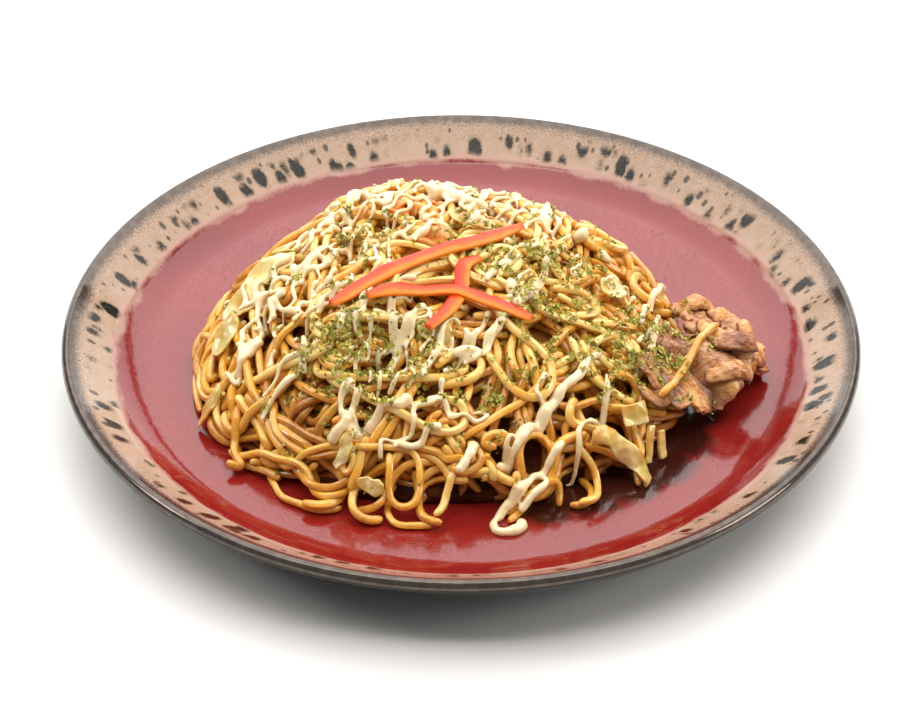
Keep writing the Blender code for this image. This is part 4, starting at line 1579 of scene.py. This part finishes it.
class NOODLES_OT_vegetables(bpy.types.Operator):
    """Cut cabbage and two slices of carrot among the noodles"""
    bl_idname = "noodles.vegetables"
    bl_label = "Cabbage and carrot"

    def execute(self, context):
        pale, orange = cabbage_finish(), carrot_finish()

        def add(name, plan, columns, rows, thickness, lift, crown=None):
            slot = name.split("_")[0]
            made = sheet(
                name, columns, rows, plan, LAID, thickness=thickness, limpness=14, lift=lift,
                crown=crown, relief=ripple(0.32, 0.45))
            made.data.materials.append(pale if slot == "cabbage" else orange)
            hand_over(made, slot, name)

        LAID.lean_to((-28, -83, 20), facing=-105, lean=70)
        add("cabbage_leaf_front", slice_plan((0, 0), (4.6, 3.4, 2.4, 3.4, 4.4, 3.2, 2.2, 3.2), -8, 0.1),
            18, 18, 0.8, 0.3, lambda x, y: 0.6 * math.sin(3 * x))
        LAID.lean_to((-36, -75, 29), facing=-110, lean=65)
        add("cabbage_frill_front", strip_plan([(1.5, 6), (0.5, 0), (-1.6, -7)], 3.6, 0.6, 0.3),
            24, 8, 0.6, 0.5, lambda x, y: 0.7 * y * math.sin(8 * x))
        LAID.lean_to((49, -66, 24), facing=-60, lean=60)
        add("cabbage_strip_right", strip_plan([(-8, 4), (-2, 3), (2, -3), (5, -9), (7, -15)], 5.6, 0.7, 0.22),
            40, 12, 0.9, 0.5,
            lambda x, y: 1.5 * y * math.sin(5 * x + 1) + 1.3 * (1 - y * y) * (0.6 + 0.4 * math.sin(7 * x)))
        LAID.lean_to((55, -57, 27), facing=-50, lean=55)
        add("cabbage_square_right", strip_plan([(-3.2, 2.0), (1.0, 1.0), (5.0, 0.2)], 6.8, 1.0),
            16, 16, 0.9, 0.4, lambda x, y: 0.7 * math.sin(2 * x + y))
        LAID.lean_to((60, -59, 17), facing=-50, lean=65)
        add("cabbage_stick_right_1", strip_plan([(3, 6), (0.5, 1), (-2, -5)], 2.6, 0.9),
            16, 6, 1.6, 0.3)
        add("cabbage_stick_right_2", strip_plan([(6, 3), (5, -1), (4, -6)], 2.8, 0.9),
            16, 6, 1.6, 0.3)
        LAID.lean_to()
        add("cabbage_piece_back", slice_plan((4, 12), (5.0, 4.5, 3.6, 4.6, 5.2, 4.4, 3.8, 4.6), 10, 0.1),
            16, 16, 0.9, 0.2, lambda x, y: 0.8 * x * y)
        add("carrot_slice_top", slice_plan((-9, 5), (6.5, 6.0, 4.4, 5.0, 6.0, 5.2, 4.2, 5.4), -30, 0.04),
            18, 18, 1.4, 0.1)
        add("carrot_slice_back", slice_plan((-21, 23), (3.6, 3.4, 3.0, 3.2, 3.6, 3.2, 2.8, 3.2), 0, 0.04),
            12, 12, 1.4, 0.1)
        for kind, colour, bits in (
                ("cabbage_shreds", pale, CABBAGE_SHREDS), ("carrot_bits", orange, CARROT_BITS)):
            made = []
            for x, y, size, turn in bits:
                radii = [size * share for share in (1.1, 0.9, 0.8, 1.0, 1.15, 0.85, 0.75, 1.0)]
                made.append(sheet(
                    "%s_%d" % (kind, len(made)), 12, 12, slice_plan((x, y), radii, turn, 0.12), LAID,
                    thickness=0.8, limpness=30, lift=0.2,
                    crown=lambda a, b: 0.6 * math.sin(3 * a + 2 * b), relief=ripple(0.25, 0.45)))
            whole = joined(made)
            whole.name = whole.data.name = kind
            whole.data.materials.append(colour)
            hand_over(whole, kind.split("_")[0])
        LAID.lean_to((51, -8, 44), facing=0, lean=30)
        add("cabbage_piece_right", slice_plan((0, 0), (5.0, 4.4, 5.4, 6.0, 5.6, 4.8, 4.4, 5.0), 0, 0.1),
            16, 16, 0.9, 0.3, lambda x, y: 0.8 * x * y)
        return {"FINISHED"}


# ---- mayonnaise and laver

class Terrain:
    """Height of everything laid so far over a fine level grid, in millimetres."""

    CELL = 0.5
    # Room kept round the heap: more at the right, for the pork
    BEFORE = 14.0
    BEYOND = (34.0, 14.0)

    def __init__(self, laid):
        low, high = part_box("noodle_heap")
        self.low = np.array(low)[:2] / MM - self.BEFORE
        top = np.array(high)[:2] / MM + self.BEYOND
        self.size = np.ceil((top - self.low) / self.CELL).astype(int) + 1
        self.height = np.zeros(self.size)
        down = Vector((0, 0, -1))
        for cell in np.ndindex(*self.size):
            x, y = self.low + np.array(cell) * self.CELL
            start = Vector((x, y, ABOVE_ALL)) * MM
            best = float(plate_floor(math.hypot(x, y)))
            for tree in laid.trees:
                hit = tree.ray_cast(start, down)[0]
                if hit is not None:
                    best = max(best, hit.z / MM)
            self.height[cell] = best

    def rolled_over(self, radius):
        """Height of the middle of a ball that rolls over everything."""
        span = int(radius / self.CELL)
        best = np.full_like(self.height, -1.0)
        for i, j in product(range(-span, span + 1), repeat=2):
            aside = math.hypot(i, j) * self.CELL
            if aside <= radius:
                cap = math.sqrt(radius ** 2 - aside ** 2)
                best = np.maximum(best, np.roll(self.height, (i, j), (0, 1)) + cap)
        return best

    def read(self, table, places):
        """A table's values at places, read between its cells."""
        spot = np.clip((places - self.low) / self.CELL, 0, self.size - 1.001)
        whole = spot.astype(int)
        part = spot - whole
        i, j = whole.T
        fx, fy = part.T
        return (table[i, j] * (1 - fx) * (1 - fy) + table[i + 1, j] * fx * (1 - fy)
                + table[i, j + 1] * (1 - fx) * fy + table[i + 1, j + 1] * fx * fy)


def mayonnaise_finish():
    made = Finish("mayonnaise")
    place = made.object_place()
    made.colour(made.ramp(made.noise(place, 120, 2), [
        (0.30, (0.88, 0.66, 0.36, 1.0)), (0.65, (0.96, 0.80, 0.52, 1.0))]))
    made.set(
        Roughness=0.30, Subsurface_Weight=0.50, Subsurface_Scale=0.0020,
        Subsurface_Radius=(1.0, 0.65, 0.32), Coat_Weight=0.3, Coat_Roughness=0.10)
    return made.material


def blobs(places, spots):
    """Sum of soft round patches (x, y, radius, amount) at each place."""
    total = np.zeros(len(places))
    for x, y, radius, amount in spots:
        total += amount * np.exp(-((places[:, 0] - x) ** 2 + (places[:, 1] - y) ** 2) / radius ** 2)
    return total


# The squeezed rows: heading in degrees, spacing and middle in millimetres
HEADING, SPACING, MAYONNAISE_MIDDLE = 63, 4.1, (-6.0, -4.0)
# Waves of a row, each by its size and pitch, and the pitches at which it comes and goes
WAVES = ((1.3, 37.0), (1.0, 17.0), (0.85, 7.5))
BREAKS = (23.0, 11.0, 6.0)
# A row shows where it falls thicker than this, for more than so many steps
THICK_ENOUGH, SHORTEST = 0.50, 8


def mayonnaise_threads(rng, terrain):
    """Squeezed threads, back and forth over the heap, thin here and thick there."""
    heading = math.radians(HEADING)
    along = np.array((math.cos(heading), math.sin(heading)))
    across = np.array((along[1], -along[0]))
    rolled = terrain.rolled_over(1.1)
    threads = []
    for offset in np.arange(-72.0, 70.0, SPACING):
        t = np.arange(-80.0, 80.0, 0.6)
        wobble = sum(
            size * np.sin(t * math.tau / pitch + rng.uniform(0, math.tau)) for size, pitch in WAVES)
        places = along * t[:, None] + across * (offset + wobble)[:, None] + MAYONNAISE_MIDDLE
        heap = blobs(places, MAYONNAISE_PATCHES)
        grain = sum(0.16 * np.sin(t * math.tau / pitch + rng.uniform(0, math.tau)) for pitch in BREAKS)
        present = heap + grain > THICK_ENOUGH
        start = None
        for k in range(len(t) + 1):
            if k < len(t) and present[k]:
                start = k if start is None else start
            elif start is not None:
                if k - start > SHORTEST:
                    threads.append((places[start:k], heap[start:k]))
                start = None
    made = []
    for places, amount in threads:
        count = len(places)
        z = terrain.read(rolled, places)
        z = np.maximum(blurred(z, 5), z - 0.4) - 0.35
        girth = 0.66 + 0.25 * np.clip(amount - 0.5, 0, 1) + 0.18 * blurred(rng.normal(0, 2.0, count), 7)
        for _ in range(1 + count // 26):
            middle = rng.integers(0, count)
            swell, spread = rng.uniform(0.2, 0.6), rng.uniform(2.0, 4.0)
            girth += swell * np.exp(-((np.arange(count) - middle) / spread) ** 2)
        girth = np.clip(girth, 0.45, 1.8)
        made.append((np.column_stack([places, z]), girth))
    for girth, route in SHOWN_THREADS:
        made.append(shown_thread(rng, terrain, rolled, girth, np.array(route, float)))
    return made


def shown_thread(rng, terrain, rolled, thick, route):
    """A thread through its own few places, wavering a little, thick here and thin there."""
    places = even_steps(route)
    count = len(places)
    z = terrain.read(rolled, places)
    z = np.maximum(blurred(z, 3), z - 0.4) - 0.30
    girth = 1.15 * thick * (1.0 + 0.30 * blurred(rng.normal(0, 1.6, count), 5))
    girth += 0.35 * thick * np.exp(-((np.arange(count) - rng.integers(0, count)) / 2.0) ** 2)
    return np.column_stack([places, z]), np.clip(girth, 0.5, 2.4)


# The threads that show best, each by its half width and a few places in millimetres: down the
# front from left to right, the drips onto the plate, the right side, and the top
SHOWN_THREADS = (
    (1.5, ((-39, -68), (-33, -66), (-28, -65), (-23, -63), (-19, -63), (-15, -60))),
    (1.1, ((-33, -56), (-36, -58), (-36, -62), (-34, -65), (-37, -68))),
    (1.0, ((-30, -58), (-33, -62), (-31, -65), (-29, -67))),
    (0.8, ((-24, -73), (-24, -70), (-22, -70), (-19, -71), (-16, -72), (-12, -71), (-9, -69), (-6, -69))),
    (0.8, ((-3, -66), (-5, -61), (-9, -62), (-14, -64), (-14, -68), (-18, -70), (-20, -73))),
    (0.8, ((-3, -65), (0, -64), (5, -65), (8, -63), (7, -60), (3, -62))),
    (0.8, ((14, -32), (8, -38), (7, -44), (3, -44), (0, -47), (-5, -52))),
    (0.7, ((8, -31), (5, -37), (3, -42), (2, -47))),
    (0.8, ((-61, -56), (-59, -53), (-55, -50), (-52, -48), (-48, -46), (-48, -41), (-49, -35))),
    (0.7, ((-61, -51), (-57, -47), (-55, -44), (-49, -43))),
    (0.9, ((-74, -34), (-70, -39), (-69, -32), (-66, -28), (-63, -24), (-65, -16), (-64, -10), (-60, -6))),
    (1.2, ((-71, -36), (-68, -33), (-66, -30), (-63, -27))),
    (1.0, ((-59, -23), (-60, -17), (-54, -23), (-48, -24))),
    (1.1, ((-53, -13), (-50, -7), (-47, -2), (-42, -1), (-37, 4))),
    (0.9, ((-63, -12), (-62, -9), (-58, -5), (-52, -8))),
    (0.9, ((-43, 19), (-42, 27), (-38, 23), (-35, 20))),
    (1.1, ((-37, 25), (-37, 35), (-33, 38), (-28, 39))),
    (0.9, ((-25, 19), (-25, 29), (-23, 38), (-17, 40))),
    (0.8, ((-23, -6), (-23, 3), (-20, 6), (-15, 4), (-11, 6))),
    (1.9, ((-11, 37), (-4, 32), (0, 27), (4, 25), (8, 25))),
    (0.8, ((13, 17), (19, 23), (26, 30), (31, 31), (28, 19))),
    (1.9, ((29, 36), (28, 28), (27, 18))),
    (1.7, ((38, 20), (42, 20))),
    (1.5, ((46, 16), (50, 13))),
    (1.7, ((15, -18), (18, -23), (24, -24))),
    (1.4, ((17, -29), (22, -21), (24, -14))),
    (0.8, ((32, 6), (27, -6), (25, -17))),
    (0.8, ((22, -10), (17, -17), (18, -24), (14, -25))),
    (1.0, ((57, -20), (59, -9), (64, 5), (67, 15))),
    (1.1, ((67, -9), (64, -16), (62, -21), (60, -28))),
    (0.9, ((66, -3), (60, -18), (56, -27))),
    (1.3, (
        (43, -38), (36, -48), (32, -52), (29, -55), (26, -59), (23, -62), (19, -67), (15, -72), (11, -74))),
    (0.8, ((26, -51), (23, -56), (26, -60), (21, -64), (16, -67), (13, -71))),
    (0.8, ((45, -44), (45, -50), (43, -56), (40, -60))),
    (0.8, ((40, -59), (36, -63), (36, -67), (32, -69))),
    (0.9, ((-22, -50), (-20, -47), (-19, -43), (-17, -39), (-14, -33))),
    (0.9, ((2, -43), (4, -38), (7, -33), (9, -29))),
    (0.9, ((8, -43), (10, -38), (13, -33), (16, -31))),
    (0.9, ((-2, -47), (1, -45), (5, -44), (9, -43))),
    (1.0, ((-8, -34), (-5, -30), (-1, -29), (2, -26))),
    (1.0, ((8, -19), (10, -14), (14, -9), (19, -6))),
    (0.7, ((-11, -52), (-9, -49), (-7, -46), (-6, -40), (-3, -35), (0, -34))),
    (1.3, ((4, -71), (3, -74), (1, -77), (-1, -79))),
    (1.1, ((31, -67), (26, -72), (22, -74), (21, -76), (16, -80), (13, -82), (11, -85))),
    (1.2, ((11, -84), (10, -87), (11, -90), (14, -90.5), (17.5, -89), (18.5, -87), (17, -85.5))),
    (1.0, ((25, -74), (26, -77), (22, -80), (18, -83))),
)

# Where the mayonnaise falls thickest: x, y, radius and amount, in millimetres
MAYONNAISE_PATCHES = (
    (-45, 0, 34, 0.60), (-60, -25, 22, 0.42), (-15, 40, 34, 0.75), (-20, -45, 24, 0.8), (20, 45, 24, 0.7),
    (30, 5, 24, 0.45), (15, -35, 18, 0.35), (58, -5, 16, 0.5))


def beads(name, threads, sides=8):
    """One mesh of tubes whose girth changes along them, closed at both ends."""
    points, faces, base = [], [], 0
    turns = np.arange(sides) * math.tau / sides
    for place, girth in threads:
        count = len(place)
        ahead = unit(np.gradient(place, axis=0))
        side = unit(np.cross(ahead, (0, 0, 1.0)))
        up = np.cross(side, ahead)
        ring = np.cos(turns)[None, :, None] * side[:, None] + np.sin(turns)[None, :, None] * up[:, None]
        points.append((place[:, None] + ring * girth[:, None, None]).reshape(-1, 3))
        ends = np.array([place[0] - ahead[0] * girth[0] * 0.7, place[-1] + ahead[-1] * girth[-1] * 0.7])
        points.append(ends)
        k = np.arange(count - 1)[:, None] * sides + base
        s, n = np.arange(sides)[None], (np.arange(sides)[None] + 1) % sides
        faces += np.stack([k + n, k + s, k + sides + s, k + sides + n], axis=-1).reshape(-1, 4).tolist()
        head, tail = base + count * sides, base + count * sides + 1
        last = base + (count - 1) * sides
        for i in range(sides):
            j = (i + 1) % sides
            faces.append([head, base + i, base + j])
            faces.append([tail, last + j, last + i])
        base += count * sides + 2
    return as_mesh(name, (np.concatenate(points) * MM).tolist(), faces)


# The cells in which the threads merge, in metres, and the share of faces kept afterwards
VOXEL, KEPT_FACES = 0.00045, 0.60


class NOODLES_OT_mayonnaise(bpy.types.Operator):
    """Threads of mayonnaise squeezed back and forth over the heap"""
    bl_idname = "noodles.mayonnaise"
    bl_label = "Mayonnaise"

    def execute(self, context):
        rng = np.random.default_rng(21)
        terrain = Terrain(LAID)
        threads = mayonnaise_threads(rng, terrain)
        made = beads("mayonnaise_threads", threads)
        take_up(made)
        merged = made.modifiers.new("merged", "REMESH")
        merged.mode = "VOXEL"
        merged.voxel_size = VOXEL
        softened = made.modifiers.new("softened", "SMOOTH")
        softened.factor = 0.5
        softened.iterations = 6
        thinned = made.modifiers.new("thinned", "DECIMATE")
        thinned.ratio = KEPT_FACES
        for step in ("merged", "softened", "thinned"):
            bpy.ops.object.modifier_apply(modifier=step)
        made.data.materials.clear()
        made.data.materials.append(mayonnaise_finish())
        smooth(made)
        LAID.add(made)
        hand_over(made, "mayonnaise")
        return {"FINISHED"}


def laver_finish():
    made = Finish("green_laver")
    tone = made.attribute("tone")
    made.colour(made.ramp(tone, [
        (0.0, (0.070, 0.078, 0.010, 1.0)), (0.35, (0.21, 0.205, 0.026, 1.0)),
        (0.70, (0.38, 0.35, 0.055, 1.0)), (1.0, (0.66, 0.58, 0.18, 1.0))]))
    made.set(Roughness=0.6, Specular_IOR_Level=0.12, Subsurface_Weight=0.2, Subsurface_Scale=0.0005)
    return made.material


# Where the laver falls thickest: x, y, radius and amount, in millimetres
LAVER_PATCHES = (
    (-37, -42, 11, 1.0), (-27, -50, 9, 0.8), (-31, 5, 8, 0.8), (10, 4, 9, 0.35), (26, -28, 11, 0.9),
    (30, 0, 9, 0.5), (18, -6, 10, 0.5), (52, -30, 13, 0.8), (62, -20, 10, 0.8), (-8, -50, 9, 0.35),
    (12, -56, 7, 0.4), (40, -44, 8, 0.5), (40, 4, 12, 0.35), (0, -5, 60, 0.11))
# Flakes in all, how many fall together, and how many corners each has
FLAKES, CLUMP, CORNERS = 6800, 9, 6
# Flakes lower than this, on the plate, are left out, in millimetres
LOWEST_FLAKE = 13.0
# A flake's thickness above and below its middle, and how far it feels for the slope
FLAKE_TOP, FLAKE_UNDER, FEEL = 0.04, 0.05, 0.6


class NOODLES_OT_laver(bpy.types.Operator):
    """Flakes of dried green laver sprinkled over the top"""
    bl_idname = "noodles.laver"
    bl_label = "Laver flakes"

    def execute(self, context):
        rng = np.random.default_rng(33)
        terrain = Terrain(LAID)
        middles = np.zeros((0, 2))
        # more than wanted, since those on the plate are left out
        while len(middles) * CLUMP < FLAKES * 1.15:
            tries = rng.uniform((-85, -85), (85, 75), (400, 2))
            kept = rng.uniform(size=400) < blobs(tries, LAVER_PATCHES)
            middles = np.concatenate([middles, tries[kept]])
        places = np.repeat(middles, CLUMP, axis=0)
        places += rng.normal(0.0, 1.0, places.shape) * rng.uniform(0.3, 1.7, (len(places), 1))
        places = places[terrain.read(terrain.height, places) > LOWEST_FLAKE][:FLAKES]
        count = len(places)
        level = terrain.read(terrain.height, places) + rng.uniform(0.0, 0.5, count)

        def rise(step):
            """How far the ground rises over a step to each side."""
            return terrain.read(terrain.height, places + step) - terrain.read(terrain.height, places - step)

        east, north = rise(np.array((FEEL, 0.0))), rise(np.array((0.0, FEEL)))
        points, faces, tones = [], [], []
        for k in range(count):
            out = Vector((-east[k] / (2 * FEEL), -north[k] / (2 * FEEL), 1.0)).normalized()
            out = (out + Vector(rng.normal(0.0, 0.35, 3))).normalized()
            side = out.orthogonal().normalized()
            side.rotate(Quaternion(out, rng.uniform(0, math.tau)))
            ahead = out.cross(side)
            size = 0.34 + 0.50 * rng.uniform() ** 2 + (0.35 if rng.uniform() < 0.12 else 0.0)
            middle = Vector((*places[k], level[k])) + out * 0.18
            curl = rng.uniform(-0.5, 0.7)
            ring = []
            for i in range(CORNERS):
                angle = i * math.tau / CORNERS + rng.uniform(-0.3, 0.3)
                reach = size * rng.uniform(0.6, 1.25)
                a, b = math.cos(angle) * reach * 1.25, math.sin(angle) * reach * 0.8
                ring.append(middle + side * a + ahead * b + out * (curl * a * a / size))
            top = len(points)
            under = top + CORNERS + 1
            lower = [place - out * FLAKE_UNDER for place in ring]
            points += [middle + out * FLAKE_TOP] + ring + [middle - out * FLAKE_UNDER] + lower
            for i in range(CORNERS):
                j = (i + 1) % CORNERS
                faces.append((top, top + 1 + i, top + 1 + j))
                faces.append((under, under + 1 + j, under + 1 + i))
                faces.append((top + 1 + i, under + 1 + i, under + 1 + j, top + 1 + j))
            tones += [min(max(rng.normal(0.66, 0.26), 0.0), 1.0)] * (2 * CORNERS + 2)
        made = as_mesh("laver_flakes", [place * MM for place in points], faces, laver_finish())
        store(made.data, "tone", tones)
        hand_over(made, "laver")
        return {"FINISHED"}


# ---- stage

# The soft lights: name, place, width and height, the setting that holds its power, and aim
LIGHTS = (
    ("key_light", (0.0, 0.52, 1.37), 2.8, 2.3, "key_power", (0.0, 0.0, 0.0)),
    ("backdrop_light", (0.0, 1.90, 0.45), 3.2, 0.9, "back_power", (0.0, 0.0, 0.45)),
    ("glint_light", (-0.95, -0.05, 0.68), 0.30, 0.30, "glint_power", (0.0, 0.0, 0.0)),
    ("side_light", (0.97, -0.20, 0.50), 0.4, 0.4, "side_power", (0.0, 0.0, 0.0)),
    ("gloss_light", (0.0, -0.27, 1.08), 1.2, 0.08, "gloss_power", (0.0, 0.0, 0.0)),
)
CAMERA_PLACE = (0.0, -0.5665, 0.4317)
CAMERA_AIM = (-0.0034, -0.0258, 0.0250)
TABLE_DROP = 0.0002  # the table top lies this far below the plate's foot


class NOODLES_OT_stage(bpy.types.Operator):
    """Sets the pale table, the soft lights and the camera"""
    bl_idname = "noodles.stage"
    bl_label = "Stage"

    def execute(self, context):
        choice = context.scene.noodle_stage
        deselect()
        bpy.ops.mesh.primitive_plane_add(size=8.0, location=(0, 0, -TABLE_DROP))
        table = context.object
        table.name = "table_top"
        # The table is off-white; its warm tint is painted light, standing for the warm light the red plate
        # throws into the table's shadow
        cloth = Finish("white_table").set(Base_Color=(0.90, 0.87, 0.83, 1.0), Roughness=0.6)
        table.data.materials.append(cloth.material)

        world = bpy.data.worlds.new("white_surroundings")
        world.use_nodes = True
        world.node_tree.nodes["Background"].inputs["Color"].default_value = (1, 1, 1, 1)
        world.node_tree.nodes["Background"].inputs["Strength"].default_value = choice.sky
        context.scene.world = world

        for name, place, width, height, power, aim in LIGHTS:
            soft_light(name, place, width, height, getattr(choice, power), aim)

        lens = bpy.data.cameras.new("camera")
        lens.lens = choice.lens
        camera = new_object("camera", lens)
        camera.location = CAMERA_PLACE
        aim = Vector(CAMERA_AIM) - camera.location
        camera.rotation_euler = aim.to_track_quat("-Z", "Y").to_euler()
        context.scene.camera = camera
        context.scene.view_settings.view_transform = "Standard"
        return {"FINISHED"}


def soft_light(name, place, width, height, power, aim):
    """A flat lamp that faces its aim."""
    lamp = bpy.data.lights.new(name, "AREA")
    lamp.shape = "RECTANGLE"
    lamp.size = width
    lamp.size_y = height
    lamp.energy = power
    made = new_object(name, lamp)
    made.location = place
    made.rotation_euler = (Vector(aim) - made.location).to_track_quat("-Z", "Y").to_euler()


# ---- add-on

STEPS = ("plate", "noodles", "pork", "vegetables", "mayonnaise", "laver", "pepper", "stage")
SETTINGS = {
    "noodle_plate": PlateSettings,
    "noodle_strands": NoodleSettings,
    "noodle_stage": StageSettings,
}


class NOODLES_PT_panel(bpy.types.Panel):
    """Lists the steps that make the plate of noodles"""
    bl_idname = "NOODLES_PT_panel"
    bl_label = "Plate of fried noodles"
    bl_space_type = "VIEW_3D"
    bl_region_type = "UI"
    bl_category = "Noodles"

    def draw(self, context):
        for step in STEPS:
            self.layout.operator("noodles." + step)
        for name in SETTINGS:
            group = getattr(context.scene, name)
            box = self.layout.box()
            for field in group.__annotations__:
                box.prop(group, field)


CLASSES = (
    PlateSettings, NoodleSettings, StageSettings,
    NOODLES_OT_plate, NOODLES_OT_noodles, NOODLES_OT_pork, NOODLES_OT_vegetables, NOODLES_OT_pepper,
    NOODLES_OT_mayonnaise, NOODLES_OT_laver, NOODLES_OT_stage, NOODLES_PT_panel,
)


def register():
    for kind in CLASSES:
        bpy.utils.register_class(kind)
    for name, kind in SETTINGS.items():
        setattr(bpy.types.Scene, name, bpy.props.PointerProperty(type=kind))


def unregister():
    for name in SETTINGS:
        delattr(bpy.types.Scene, name)
    for kind in reversed(CLASSES):
        bpy.utils.unregister_class(kind)


LAID = Laid()


def main():
    register()
    for step in STEPS:
        getattr(bpy.ops.noodles, step)()


if __name__ == "__main__":
    main()
